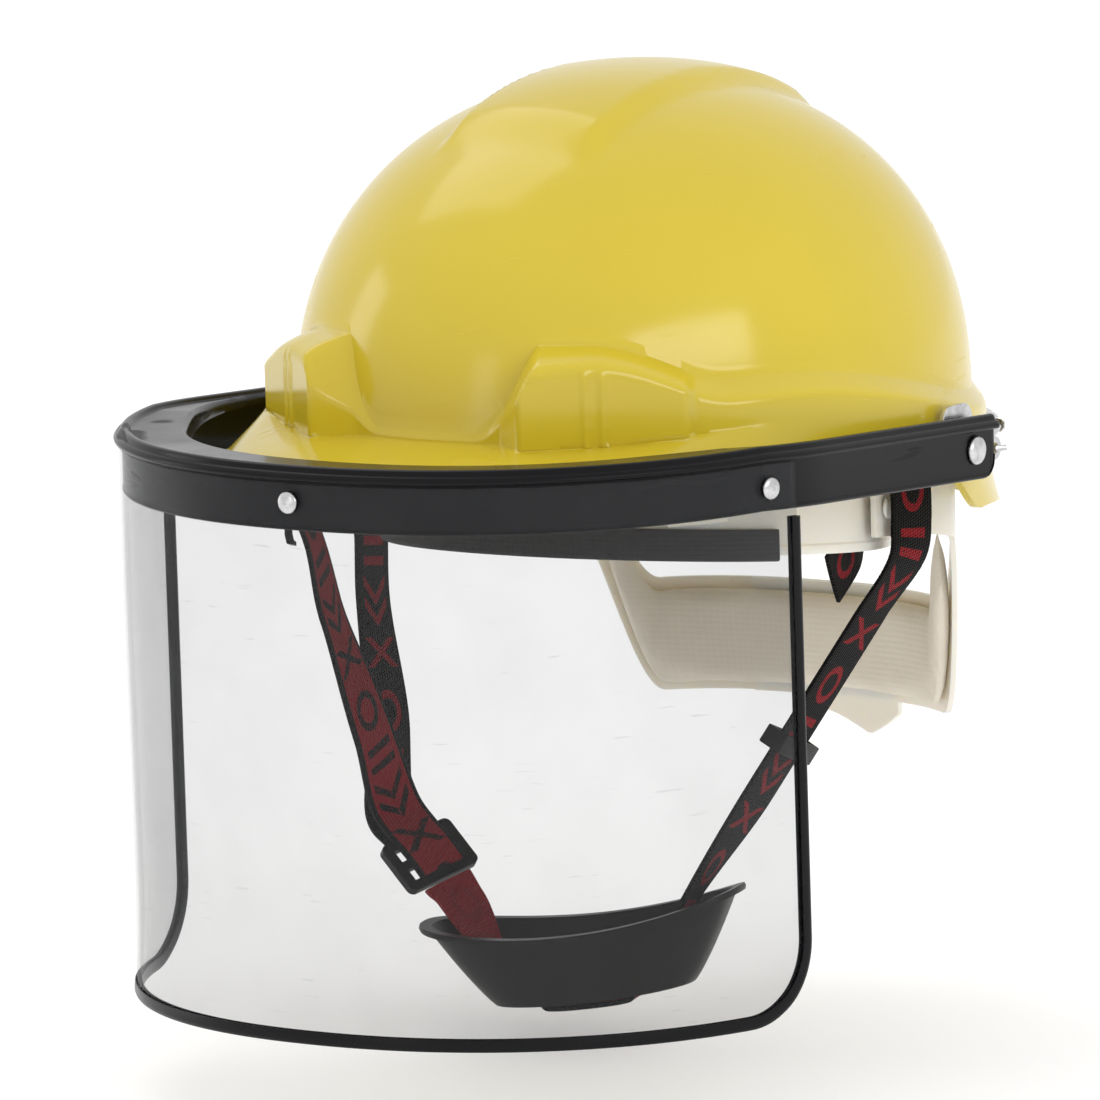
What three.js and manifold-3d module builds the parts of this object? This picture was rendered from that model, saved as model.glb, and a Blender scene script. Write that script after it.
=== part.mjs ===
// Safety helmet with a lift-up visor, a four-point cradle and a chin strap with a chin cup.
// Millimetres, +Z up. The wearer faces -Y and the wearer's left is +X.
// The origin is the centre of the headband at brow level.
import * as THREE from 'three';
import { mergeVertices } from 'three/addons/utils/BufferGeometryUtils.js';
import Module from 'manifold-3d';

const wasm = await Module();
wasm.setup();

// ---------------------------------------------------------------- driving dimensions
const GAP = 0.3; // clearance between pieces that rest on each other

// Shell
const SHELL_WALL = 2.6;
const DOME_HALF_WIDTH = 110;
const DOME_HALF_LENGTH = 126;
const DOME_HEIGHT = 111.4; // from the dome's base to its top, without the crest
const DOME_BASE = 19; // height where the dome's wall stands upright
const DOME_POWER = 2.2; // 2 makes the dome's upright section an ellipse, more makes it fuller
const CREST_HEIGHT = 4.5;
const CREST_HALF_WIDTH = 29;
const PEAK_REACH = 46; // how far the peak stands out in front of the dome
const RIM_SIDE_REACH = 6; // how far the rim stands out at the sides
const RIM_REAR_REACH = 11;
const PEAK_TIP_Z = 14;
const BROW_Z = 23.6; // crease between the dome and the peak
const LEDGE_FRONT_Z = 35.5; // outer edge of the ledge that runs round the dome
const LEDGE_REAR_Z = 13;
const LEDGE_DROP = 6.5; // from the dome down to the ledge's outer edge
const BROW_DROP = 2.5;
const LEDGE_REACH = 6;
const SIDE_RIM_Z = 1;
const EAR_STEP = 19; // drop of the rim behind the ears
const REAR_RIM_Z = -27;
const POD_FACE = 9.2; // how far an accessory pod's flat face stands out from its centre
const POD_FORE = 41; // the pod's reach forwards and backwards from its centre, along its face
const POD_AFT = 19;
const POD_RISE = 13.5; // how far the ledge arches up over a pod

// Visor carrier
const CARRIER_HALF_WIDTH = DOME_HALF_WIDTH + 17; // outer face of the skirt
const CARRIER_FRONT = DOME_HALF_LENGTH + 78;
const CARRIER_BEND_Y = 51 - DOME_HALF_LENGTH; // where the round front becomes two straight arms
const CARRIER_TOP = 26;
const CARRIER_ARM_END = 27;
const SKIRT_BOTTOM = 4.3;
const SKIRT_WALL = 2.4;
const FLANGE_WIDTH = 22;
const ARM_FLANGE_WIDTH = 6;
const FLANGE_WALL = 2.5;
const LIP_REACH = 3;
const ARM_DROP = 8.2; // how far the arms sink towards their rear ends
const ARM_DROP_START = -110;

// Visor
const SHEET_WALL = 1.2;
const SHEET_TOP = 20;
const SHEET_BOTTOM = -165.5;
const SHEET_SIDE_Y = -96.3; // the sheet's two upright edges
const SHEET_CORNER = 27;
const BINDING_WIDTH = 4.4;
const BINDING_DEPTH = 3.2;
const BINDING_TOP = 2;

// Pivot
const PIVOT_Y = 14.9;
const PIVOT_Z = 7;
const PIVOT_SHANK = 2.4; // radius
const BRACKET_WALL = 1.6;
const BRACKET_HALF_WIDTH = 9;
const BRACKET_TOP = 22;
const SPRING_RADIUS = 3;

// Cradle
const BAND_HALF_WIDTH = DOME_HALF_WIDTH - 30;
const BAND_HALF_LENGTH = DOME_HALF_LENGTH - 27;
const BAND_WALL = 1.8;
const BAND_HEIGHT = 30;
const BAND_TILT = 0.12; // the band sinks by this much per millimetre towards the nape
const NAPE_HEIGHT = 40;
const NAPE_Z = -81.5;
const CROWN_STRAP_WIDTH = 19;
const CROWN_STRAP_WALL = 1.4;
const CROWN_CLEARANCE = 30; // from the crown straps up to the shell

// Chin strap
const WEBBING_WIDTH = 20;
const WEBBING_WALL = 1.5;
const CUP_LENGTH = 112;
const CUP_WIDTH = 1.45 * WEBBING_WIDTH + 15;
const CUP_DEPTH = 25;
const CUP_WALL = 2;

// ---------------------------------------------------------------- finishes
const finish = (color, roughness, metalness, opacity = 1) =>
  new THREE.MeshStandardMaterial({ color, roughness, metalness, opacity, transparent: opacity < 1 });
const yellowShell = () => finish(0xe8cf2e, 0.3, 0);
const blackGloss = () => finish(0x0b0b0c, 0.2, 0);
const blackVinyl = () => finish(0x101012, 0.35, 0);
const clearSheet = () => finish(0xe9eef0, 0.06, 0, 0.2);
const steel = () => finish(0xb9bcc0, 0.28, 0.9);
const milkyPlastic = () => finish(0xece7dd, 0.45, 0);
const beigeFoam = () => finish(0xe4d8c6, 0.85, 0);
const blackFoam = () => finish(0x1a1a1b, 0.9, 0);
const webbing = () => finish(0x141213, 0.85, 0);
const redWebbing = () => finish(0x8f1d22, 0.85, 0);
const greyCup = () => finish(0x2b2a2a, 0.5, 0);

// ---------------------------------------------------------------- shape helpers
const model = new THREE.Group();
const clamp = (value, low, high) => Math.min(high, Math.max(low, value));
const mix = (a, b, share) => a + (b - a) * share;
const smooth = (low, high, value) => {
  const share = clamp((value - low) / (high - low), 0, 1);
  return share * share * (3 - 2 * share);
};
const power = (value, exponent) => Math.sign(value) * Math.abs(value) ** exponent;
const radians = THREE.MathUtils.degToRad;

function welded(geometry) {
  geometry.deleteAttribute('normal');
  geometry.deleteAttribute('uv');
  const closed = mergeVertices(geometry, 1e-4);
  const position = closed.attributes.position;
  const index = closed.index.array;
  const kept = [];
  for (let i = 0; i < index.length; i += 3) {
    const [a, b, c] = [index[i], index[i + 1], index[i + 2]];
    if (a !== b && b !== c && a !== c) kept.push(a, b, c);
  }
  let volume = 0;
  const corner = (i) => new THREE.Vector3().fromBufferAttribute(position, i);
  for (let i = 0; i < kept.length; i += 3) {
    volume += corner(kept[i]).dot(corner(kept[i + 1]).cross(corner(kept[i + 2])));
  }
  if (volume < 0) kept.reverse();
  closed.setIndex(kept);
  return closed;
}

function displaced(geometry, place) {
  const position = geometry.attributes.position;
  for (let i = 0; i < position.count; i += 1) {
    const point = place(position.getX(i), position.getY(i), position.getZ(i));
    position.setXYZ(i, point.x, point.y, point.z);
  }
  return welded(geometry);
}

// A closed section carried in equal steps; place(step, across, up) says where a section point lies.
function swept(section, steps, place) {
  const shape = new THREE.Shape(section.map(([across, up]) => new THREE.Vector2(across, up)));
  const bar = new THREE.ExtrudeGeometry(shape, { depth: 1, steps, bevelEnabled: false });
  return displaced(bar, (across, up, share) => place(Math.round(share * steps), across, up));
}

// A closed profile turned once around; place(angle, radius, height) says where its points lie.
function turned(profile, segments, place) {
  const outline = profile.map(([radius, height]) => new THREE.Vector2(radius, height));
  const ring = new THREE.LatheGeometry(outline, segments);
  return displaced(ring, (x, y, z) => place(Math.atan2(z, x), Math.hypot(x, z), y));
}

function extruded(outline, depth) {
  const shape = outline instanceof THREE.Shape
    ? outline
    : new THREE.Shape(outline.map(([x, y]) => new THREE.Vector2(x, y)));
  return new THREE.ExtrudeGeometry(shape, { depth, bevelEnabled: false, curveSegments: 6 });
}

function solid(geometry) {
  const closed = welded(geometry);
  return new wasm.Manifold(new wasm.Mesh({
    numProp: 3,
    vertProperties: new Float32Array(closed.attributes.position.array),
    triVerts: new Uint32Array(closed.index.array),
  }));
}

function geometryOf(body) {
  const mesh = body.getMesh();
  const geometry = new THREE.BufferGeometry();
  geometry.setAttribute('position', new THREE.BufferAttribute(Float32Array.from(mesh.vertProperties), 3));
  geometry.setIndex(Array.from(mesh.triVerts));
  return geometry;
}

function piece(name, geometry, material) {
  const mesh = new THREE.Mesh(geometry, material);
  mesh.name = name;
  model.add(mesh);
  return mesh;
}

// A cylinder of the given radius whose axis runs from one point to another.
function rod(from, to, radius, sides = 16) {
  const axis = new THREE.Vector3().subVectors(to, from);
  const geometry = new THREE.CylinderGeometry(radius, radius, axis.length(), sides);
  geometry.rotateX(Math.PI / 2);
  const turn = new THREE.Quaternion().setFromUnitVectors(new THREE.Vector3(0, 0, 1), axis.clone().normalize());
  geometry.applyQuaternion(turn);
  geometry.translate(...new THREE.Vector3().addVectors(from, to).multiplyScalar(0.5).toArray());
  return geometry;
}

// A profile of [radius, distance] pairs turned about the line that starts at base and runs along axis.
function turnedAbout(profile, base, axis, segments = 16) {
  const geometry = new THREE.LatheGeometry(profile.map(([r, h]) => new THREE.Vector2(r, h)), segments);
  const turn = new THREE.Quaternion().setFromUnitVectors(new THREE.Vector3(0, 1, 0), axis.clone().normalize());
  geometry.applyQuaternion(turn);
  geometry.translate(base.x, base.y, base.z);
  return welded(geometry);
}

// ---------------------------------------------------------------- shell
const POD_NORMAL = new THREE.Vector2(0.64, -0.768);
const POD_CENTRE = new THREE.Vector2(DOME_HALF_WIDTH * 0.602, -DOME_HALF_LENGTH * 0.8);
const DOME_ROWS = 15;
const SKIRT_ROWS = 7;

// Height of the ledge's outer edge: it falls towards the rear, arches over the pods and ends at the brow.
function ledgeHeight(aft) {
  const side = mix(LEDGE_FRONT_Z, LEDGE_REAR_Z, smooth(-0.5, 0.6, aft));
  return mix(side + POD_RISE * podArch(aft), BROW_Z, browShare(aft));
}
const podArch = (aft) => smooth(-0.6, -0.88, aft);
const browShare = (aft) => smooth(-0.93, -0.985, aft);

function ledgeReach(aft) {
  const side = LEDGE_REACH + 1.5 * smooth(-0.3, -0.6, aft) - 1.5 * smooth(0, 0.8, aft);
  return mix(side, 1, browShare(aft));
}

function rimHeight(aft) {
  const front = mix(PEAK_TIP_Z, SIDE_RIM_Z, smooth(-1, -0.1, aft));
  return front - EAR_STEP * smooth(0.08, 0.32, aft) + (REAR_RIM_Z - SIDE_RIM_Z + EAR_STEP) * smooth(0.3, 1, aft);
}

// A point of the shell: inset 0 is the outer face and inset SHELL_WALL the inner one.
// row runs from 0 at the top of the dome, over DOME_ROWS at the inside of the ledge, to the rim.
function shellPoint(row, angle, inset) {
  const [across, aft] = [Math.cos(angle), Math.sin(angle)];
  const halfWidth = DOME_HALF_WIDTH - inset;
  const halfLength = DOME_HALF_LENGTH - inset;
  const height = DOME_HEIGHT - inset;
  const ledge = ledgeHeight(aft) - inset;
  const domeEnd = (ledge + mix(LEDGE_DROP, BROW_DROP, browShare(aft)) - DOME_BASE) / height;
  const endTilt = Math.acos(clamp(domeEnd, 0, 1) ** (DOME_POWER / 2));
  const tilt = endTilt * (Math.min(row, DOME_ROWS) / DOME_ROWS);
  const radius = Math.sin(tilt) ** (2 / DOME_POWER);
  const point = new THREE.Vector3(
    halfWidth * across * radius,
    halfLength * aft * radius,
    DOME_BASE + height * Math.cos(tilt) ** (2 / DOME_POWER),
  );
  const crest = smooth(CREST_HALF_WIDTH + 4, CREST_HALF_WIDTH - 3, Math.abs(point.x))
    * smooth(-72, -56, point.y) * smooth(80, 64, point.y);
  point.z += CREST_HEIGHT * crest;
  const below = clamp((row - DOME_ROWS - 2) / (SKIRT_ROWS - 2), 0, 1);
  if (row > DOME_ROWS) {
    const peak = smooth(-0.3, -0.85, aft);
    const reach = ledgeReach(aft);
    const baseX = (halfWidth + reach) * across;
    const baseY = (halfLength + reach) * aft;
    const rimReach = aft < 0 ? PEAK_REACH : RIM_REAR_REACH;
    const rimPower = 2 / mix(2.05, 2.3, peak);
    const rimInset = inset * (1 - peak);
    const rimX = (DOME_HALF_WIDTH + RIM_SIDE_REACH - rimInset) * power(across, rimPower);
    const rimY = (DOME_HALF_LENGTH + rimReach - rimInset) * power(aft, rimPower);
    const rimZ = rimHeight(aft) - inset * peak;
    const footZ = mix(mix(ledge, rimZ, 0.2), BROW_Z - 0.7 - inset, peak);
    const spread = below ** mix(2, 1, peak);
    const shelf = clamp(row - DOME_ROWS, 0, 1);
    const drop = clamp(row - DOME_ROWS - 1, 0, 1);
    point.x = mix(point.x, baseX, shelf) + (rimX - baseX) * spread;
    point.y = mix(point.y, baseY, shelf) + (rimY - baseY) * spread;
    point.z = mix(mix(point.z, ledge, shelf), footZ, drop) + (rimZ - footZ) * below ** mix(1, 1.5, peak);
    const side = point.x < 0 ? -1 : 1;
    const normal = new THREE.Vector2(POD_NORMAL.x * side, POD_NORMAL.y);
    const centre = new THREE.Vector2(POD_CENTRE.x * side, POD_CENTRE.y);
    const along = (point.x - centre.x) * -normal.y * side + (point.y - centre.y) * normal.x * side;
    const width = smooth(-POD_FORE - 3, -POD_FORE + 3, along) * smooth(POD_AFT + 2.5, POD_AFT - 2.5, along);
    const out = centre.dot(normal) + POD_FACE - inset - normal.dot(new THREE.Vector2(point.x, point.y));
    const push = Math.max(0, out) * width * shelf * (1 - below);
    point.x += normal.x * push;
    point.y += normal.y * push;
  }
  return point;
}

// Directions of the shell's sections, closer together over the pods and the ear steps.
function shellAngles() {
  const quarter = [];
  const podMiddle = Math.atan2(POD_CENTRE.y / DOME_HALF_LENGTH, POD_CENTRE.x / DOME_HALF_WIDTH);
  const [podFore, podAft] = [podMiddle - 0.42, podMiddle + 0.26];
  const spread = (from, to, count) => {
    for (let i = 0; i < count; i += 1) quarter.push(mix(from, to, i / count));
  };
  spread(-Math.PI / 2, podFore, 3);
  spread(podFore, podAft, 18);
  spread(podAft, 0.08, 8);
  spread(0.08, 0.34, 5);
  spread(0.34, Math.PI / 2, 10);
  quarter.push(Math.PI / 2);
  const mirrored = quarter.slice(1, -1).reverse().map((angle) => Math.PI - angle);
  return quarter.concat(mirrored);
}

function shellGeometry() {
  const angles = shellAngles();
  const rows = DOME_ROWS + SKIRT_ROWS;
  const outer = Array.from({ length: rows + 1 }, (_, row) => [row, 0]);
  const inner = outer.map(([row]) => [row, 1]).reverse();
  return turned([...outer, ...inner], angles.length, (angle, row, face) => {
    const turn = Math.round((angle / (2 * Math.PI)) * angles.length);
    const index = (turn + angles.length) % angles.length;
    return shellPoint(Math.round(row), angles[index], face * SHELL_WALL);
  });
}
piece('shell', shellGeometry(), yellowShell());

// The shell's inner face in a plan direction at a height, found by halving.
function wallAt(angle, z, inset) {
  let [low, high] = [0, DOME_ROWS + SKIRT_ROWS];
  for (let i = 0; i < 30; i += 1) {
    const middle = (low + high) / 2;
    if (shellPoint(middle, angle, inset).z > z) low = middle;
    else high = middle;
  }
  return shellPoint(low, angle, inset);
}

// ---------------------------------------------------------------- visor outline
// Stations along one half of the carrier's plan outline, from the middle of the front to the arm's end.
const OUTLINE_POWER = 2.15;
function outlineHalf() {
  const points = [];
  const count = 240;
  for (let i = 0; i <= count; i += 1) {
    const angle = radians(90 * (i / count));
    points.push(new THREE.Vector2(
      CARRIER_HALF_WIDTH * Math.sin(angle) ** (2 / OUTLINE_POWER),
      CARRIER_BEND_Y - (CARRIER_FRONT + CARRIER_BEND_Y) * Math.cos(angle) ** (2 / OUTLINE_POWER),
    ));
  }
  points.push(new THREE.Vector2(CARRIER_HALF_WIDTH, CARRIER_ARM_END));
  return points;
}
const OUTLINE = outlineHalf();
const OUTLINE_LENGTHS = [0];
OUTLINE.slice(1).forEach((point, i) => OUTLINE_LENGTHS.push(OUTLINE_LENGTHS[i] + point.distanceTo(OUTLINE[i])));
const ARM_LENGTH = OUTLINE_LENGTHS[OUTLINE_LENGTHS.length - 1];

// Point and outward normal at a signed distance along the outline from the middle of the front.
function onOutline(distance, offset = 0) {
  const travel = clamp(Math.abs(distance), 0, ARM_LENGTH);
  const side = distance < 0 ? -1 : 1;
  let i = 1;
  while (i < OUTLINE_LENGTHS.length - 1 && OUTLINE_LENGTHS[i] < travel) i += 1;
  const share = (travel - OUTLINE_LENGTHS[i - 1]) / (OUTLINE_LENGTHS[i] - OUTLINE_LENGTHS[i - 1]);
  const point = OUTLINE[i - 1].clone().lerp(OUTLINE[i], share);
  const ahead = OUTLINE[Math.min(i + 2, OUTLINE.length - 1)].clone().sub(OUTLINE[Math.max(i - 3, 0)]).normalize();
  const normal = i >= OUTLINE.length - 1
    ? new THREE.Vector2(1, 0)
    : new THREE.Vector2(ahead.y, -ahead.x);
  if (travel < 1) normal.set(0, -1);
  return {
    x: (point.x + normal.x * offset) * side,
    y: point.y + normal.y * offset,
    normal: new THREE.Vector3(normal.x * side, normal.y, 0),
  };
}

function distanceAtY(y) {
  const i = OUTLINE.findIndex((point) => point.y >= y);
  const share = (y - OUTLINE[i - 1].y) / (OUTLINE[i].y - OUTLINE[i - 1].y);
  return mix(OUTLINE_LENGTHS[i - 1], OUTLINE_LENGTHS[i], share);
}

// ---------------------------------------------------------------- visor carrier
const FRONT_LENGTH = distanceAtY(CARRIER_BEND_Y - 1);
const carrierStations = [];
for (let i = -22; i <= 22; i += 1) carrierStations.push((i / 22) * FRONT_LENGTH);
[-1, 1].forEach((side) => {
  const arm = [0.12, 0.25, 0.4, 1].map((share) => side * mix(FRONT_LENGTH, ARM_LENGTH, share));
  if (side < 0) carrierStations.unshift(...arm.reverse());
  else carrierStations.push(...arm);
});

// The carrier's arms, and what is on them, sink towards the rear.
const armDrop = (y) => ARM_DROP * clamp((y - ARM_DROP_START) / (CARRIER_ARM_END - ARM_DROP_START), 0, 1);

// 1 where the flange is at its full width, 0 along the arms.
const flangeShare = (y) => smooth(-48, -150, y);

function carrierGeometry() {
  const full = FLANGE_WIDTH;
  const flatTop = CARRIER_TOP - 1.6;
  const underside = flatTop - FLANGE_WALL;
  const section = [
    [0, SKIRT_BOTTOM],
    [0, SHEET_TOP + 0.7],
    [LIP_REACH - 0.4, SHEET_TOP + 1.4],
    [LIP_REACH, SHEET_TOP + 2.4],
    [0.6, CARRIER_TOP - 0.8],
    [-0.8, CARRIER_TOP],
    [-2.4, CARRIER_TOP - 0.4],
    [-3.2, flatTop],
    [-full, flatTop],
    [-full, underside - 6],
    [-full + 2.4, underside - 6],
    [-full + 2.4, underside],
    [-SKIRT_WALL, underside],
    [-SKIRT_WALL, SKIRT_BOTTOM],
  ];
  return swept(section, carrierStations.length - 1, (step, across, up) => {
    const middle = onOutline(carrierStations[step]);
    const share = flangeShare(middle.y);
    const inward = across < -4 ? across + (full - ARM_FLANGE_WIDTH) * (1 - share) : across;
    const height = across < -4 && up < underside - 1 ? mix(underside - 0.8, up, share) : up;
    const place = onOutline(carrierStations[step], inward);
    return new THREE.Vector3(place.x, place.y, height - armDrop(place.y));
  });
}

const FRONT_RIVET_Z = 13.8;
const SIDE_RIVET_Z = 12;
const SIDE_RIVET_DISTANCE = distanceAtY(-108.6);
const rivetSpots = [
  ['center', 0, FRONT_RIVET_Z],
  ['left', SIDE_RIVET_DISTANCE, SIDE_RIVET_Z],
  ['right', -SIDE_RIVET_DISTANCE, SIDE_RIVET_Z],
].map(([name, distance, z]) => {
  const spot = onOutline(distance);
  return { name, base: new THREE.Vector3(spot.x, spot.y, z), axis: spot.normal };
});
const VISOR_RIVET_SHANK = 1.5;
const holeThrough = (spot, radius) => solid(rod(
  spot.base.clone().addScaledVector(spot.axis, -6),
  spot.base.clone().addScaledVector(spot.axis, 6),
  radius,
));

// Rounds the lower rear corner of each arm.
function armCorners() {
  const radius = 8;
  const corner = new THREE.Shape();
  corner.moveTo(CARRIER_ARM_END + 1, SKIRT_BOTTOM - 1);
  corner.lineTo(CARRIER_ARM_END + 1, SKIRT_BOTTOM + radius);
  corner.lineTo(CARRIER_ARM_END, SKIRT_BOTTOM + radius);
  corner.absarc(CARRIER_ARM_END - radius, SKIRT_BOTTOM + radius, radius, 0, -Math.PI / 2, true);
  corner.lineTo(CARRIER_ARM_END - radius, SKIRT_BOTTOM - 1);
  const block = extruded(corner, 2 * CARRIER_HALF_WIDTH + 20);
  block.applyMatrix4(new THREE.Matrix4().makeBasis(
    new THREE.Vector3(0, 1, 0),
    new THREE.Vector3(0, 0, 1),
    new THREE.Vector3(1, 0, 0),
  ));
  block.translate(-CARRIER_HALF_WIDTH - 10, 0, -ARM_DROP);
  return solid(block);
}

let carrier = solid(carrierGeometry()).subtract(armCorners());
rivetSpots.forEach((spot) => { carrier = carrier.subtract(holeThrough(spot, VISOR_RIVET_SHANK + GAP)); });
const pivotPoint = (x) => new THREE.Vector3(x, PIVOT_Y, PIVOT_Z);
[-1, 1].forEach((side) => {
  const hole = rod(
    pivotPoint(side * (CARRIER_HALF_WIDTH - 5)),
    pivotPoint(side * (CARRIER_HALF_WIDTH + 5)),
    PIVOT_SHANK + GAP,
  );
  carrier = carrier.subtract(solid(hole));
});
piece('carrier', geometryOf(carrier), blackGloss());

// ---------------------------------------------------------------- visor sheet and its edge binding
const SHEET_HALF = distanceAtY(SHEET_SIDE_Y);
const SHEET_INNER = GAP; // distance from the skirt's outer face

function sheetStations() {
  const half = [];
  for (let i = 0; i < 15; i += 1) half.push((i / 15) * (SHEET_HALF - SHEET_CORNER));
  for (let i = 0; i <= 6; i += 1) half.push(SHEET_HALF - SHEET_CORNER + SHEET_CORNER * Math.sin(radians(15 * i)));
  return [...half.slice(1).reverse().map((distance) => -distance), ...half];
}

function sheetGeometry() {
  const stations = sheetStations();
  const section = [[SHEET_INNER, 0], [SHEET_INNER + SHEET_WALL, 0], [SHEET_INNER + SHEET_WALL, 1], [SHEET_INNER, 1]];
  return swept(section, stations.length - 1, (step, out, up) => {
    const distance = stations[step];
    const intoCorner = Math.max(0, Math.abs(distance) - SHEET_HALF + SHEET_CORNER);
    const lift = SHEET_CORNER - Math.sqrt(Math.max(0, SHEET_CORNER ** 2 - intoCorner ** 2));
    const place = onOutline(distance, out);
    return new THREE.Vector3(place.x, place.y, mix(SHEET_BOTTOM + lift, SHEET_TOP, up) - armDrop(place.y));
  });
}
let sheet = solid(sheetGeometry());
rivetSpots.forEach((spot) => { sheet = sheet.subtract(holeThrough(spot, VISOR_RIVET_SHANK + GAP)); });
piece('visor_sheet', geometryOf(sheet), clearSheet());

// The binding's path on the unrolled sheet: down one edge, round the corners and up the other.
function bindingPath() {
  const half = [];
  const straight = SHEET_HALF - SHEET_CORNER;
  for (let i = 0; i < 15; i += 1) half.push({ along: (i / 15) * straight, z: SHEET_BOTTOM, a: 0, u: -1 });
  for (let i = 0; i <= 6; i += 1) {
    const turn = radians(15 * i);
    half.push({
      along: straight + SHEET_CORNER * Math.sin(turn),
      z: SHEET_BOTTOM + SHEET_CORNER * (1 - Math.cos(turn)),
      a: Math.sin(turn),
      u: -Math.cos(turn),
    });
  }
  half.push({ along: SHEET_HALF, z: BINDING_TOP, a: 1, u: 0 });
  const mirrored = half.slice(1).reverse().map(({ along, z, a, u }) => ({ along: -along, z, a: -a, u }));
  return [...mirrored, ...half];
}

function bindingGeometry() {
  const path = bindingPath();
  const middle = SHEET_INNER + SHEET_WALL / 2;
  const slot = SHEET_WALL / 2 + GAP;
  const edge = BINDING_DEPTH / 2;
  const section = [
    [-BINDING_WIDTH + 1.6, middle - edge],
    [1.2, middle - edge],
    [1.6, middle - edge + 0.6],
    [1.6, middle + edge - 0.6],
    [1.2, middle + edge],
    [-BINDING_WIDTH + 1.6, middle + edge],
    [-BINDING_WIDTH + 1.6, middle + slot],
    [GAP, middle + slot],
    [GAP, middle - slot],
    [-BINDING_WIDTH + 1.6, middle - slot],
  ];
  return swept(section, path.length - 1, (step, across, out) => {
    const spot = path[step];
    const beyond = spot.along + across * spot.a;
    const place = onOutline(beyond, out);
    return new THREE.Vector3(place.x, place.y, spot.z + across * spot.u - armDrop(place.y));
  });
}
piece('edge_binding', bindingGeometry(), blackVinyl());

// ---------------------------------------------------------------- visor rivets, washers and front tab
const domeHead = (radius, height, shank, length) => [
  [0, -length],
  [shank, -length],
  [shank, 0],
  [radius, 0],
  [radius, height * 0.3],
  [radius * 0.82, height * 0.72],
  [radius * 0.45, height * 0.95],
  [0, height],
];
const WASHER_WALL = 0.8;
const TAB_WALL = 1.5;
rivetSpots.forEach((spot) => {
  const outFace = SHEET_INNER + SHEET_WALL + GAP;
  const backStack = SKIRT_WALL + GAP + WASHER_WALL + (spot.name === 'center' ? TAB_WALL + GAP : 0);
  const head = domeHead(3.7, 1.5, VISOR_RIVET_SHANK, outFace + backStack + 0.8);
  piece(`visor_rivet_${spot.name}`, turnedAbout(head, spot.base.clone().addScaledVector(spot.axis, outFace), spot.axis), steel());
  const inner = VISOR_RIVET_SHANK + GAP;
  const washer = [[inner, 0], [4, 0], [4, WASHER_WALL], [inner, WASHER_WALL], [inner, 0]];
  piece(`visor_washer_${spot.name}`, turnedAbout(washer, spot.base.clone().addScaledVector(spot.axis, -backStack), spot.axis), steel());
});

// A small plate behind the middle rivet, with a narrow tail that hangs below the skirt.
function frontTab() {
  const back = -CARRIER_FRONT + SKIRT_WALL + GAP;
  const face = back + TAB_WALL;
  const plate = [[back, FRONT_RIVET_Z + 5], [back, SKIRT_BOTTOM + 1], [face, SKIRT_BOTTOM + 1], [face, FRONT_RIVET_Z + 5]];
  const tail = [
    [back, SKIRT_BOTTOM + 3],
    [back, 2],
    [back + 1, -1],
    [back + 3.5, -2],
    [back + 3.5, -0.6],
    [back + 2.2, 0.2],
    [face, 2.4],
    [face, SKIRT_BOTTOM + 3],
  ];
  const [body, hook] = [[plate, 8, -4], [tail, 2.2, -5]].map(([section, width, from]) => {
    const strip = extruded(section, width);
    strip.applyMatrix4(new THREE.Matrix4().makeBasis(
      new THREE.Vector3(0, 1, 0),
      new THREE.Vector3(0, 0, 1),
      new THREE.Vector3(1, 0, 0),
    ));
    strip.translate(from, 0, 0);
    return solid(strip);
  });
  return body.add(hook).subtract(holeThrough(rivetSpots[0], VISOR_RIVET_SHANK + GAP));
}
piece('front_tab', geometryOf(frontTab()), blackGloss());

// ---------------------------------------------------------------- pivots, brackets and tension spring
const BRACKET_OUTER = CARRIER_HALF_WIDTH - ARM_FLANGE_WIDTH - 0.6;
const BRACKET_TAIL = 14; // from the bracket's plate to the middle of its spring hole
const SPRING_Z = PIVOT_Z - 3;

function bracketOutline() {
  const shape = new THREE.Shape();
  const [fore, aft] = [PIVOT_Y - BRACKET_HALF_WIDTH, PIVOT_Y + BRACKET_HALF_WIDTH];
  shape.moveTo(fore, PIVOT_Z - 8.5);
  shape.lineTo(aft, PIVOT_Z - 8.5);
  shape.lineTo(aft + BRACKET_TAIL, SPRING_Z - 4);
  shape.absarc(aft + BRACKET_TAIL, SPRING_Z, 4, -Math.PI / 2, Math.PI / 2, false);
  shape.lineTo(aft, SPRING_Z + 8);
  shape.lineTo(aft, BRACKET_TOP - 5);
  shape.absarc(aft - 5, BRACKET_TOP - 5, 5, 0, Math.PI / 2, false);
  shape.lineTo(fore + 5, BRACKET_TOP);
  shape.absarc(fore + 5, BRACKET_TOP - 5, 5, Math.PI / 2, Math.PI, false);
  const hole = new THREE.Path();
  hole.absarc(PIVOT_Y, PIVOT_Z, PIVOT_SHANK + GAP, 0, 2 * Math.PI, true);
  const springHole = new THREE.Path();
  springHole.absarc(aft + BRACKET_TAIL, SPRING_Z, 1.9, 0, 2 * Math.PI, true);
  shape.holes.push(hole, springHole);
  return shape;
}

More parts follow.
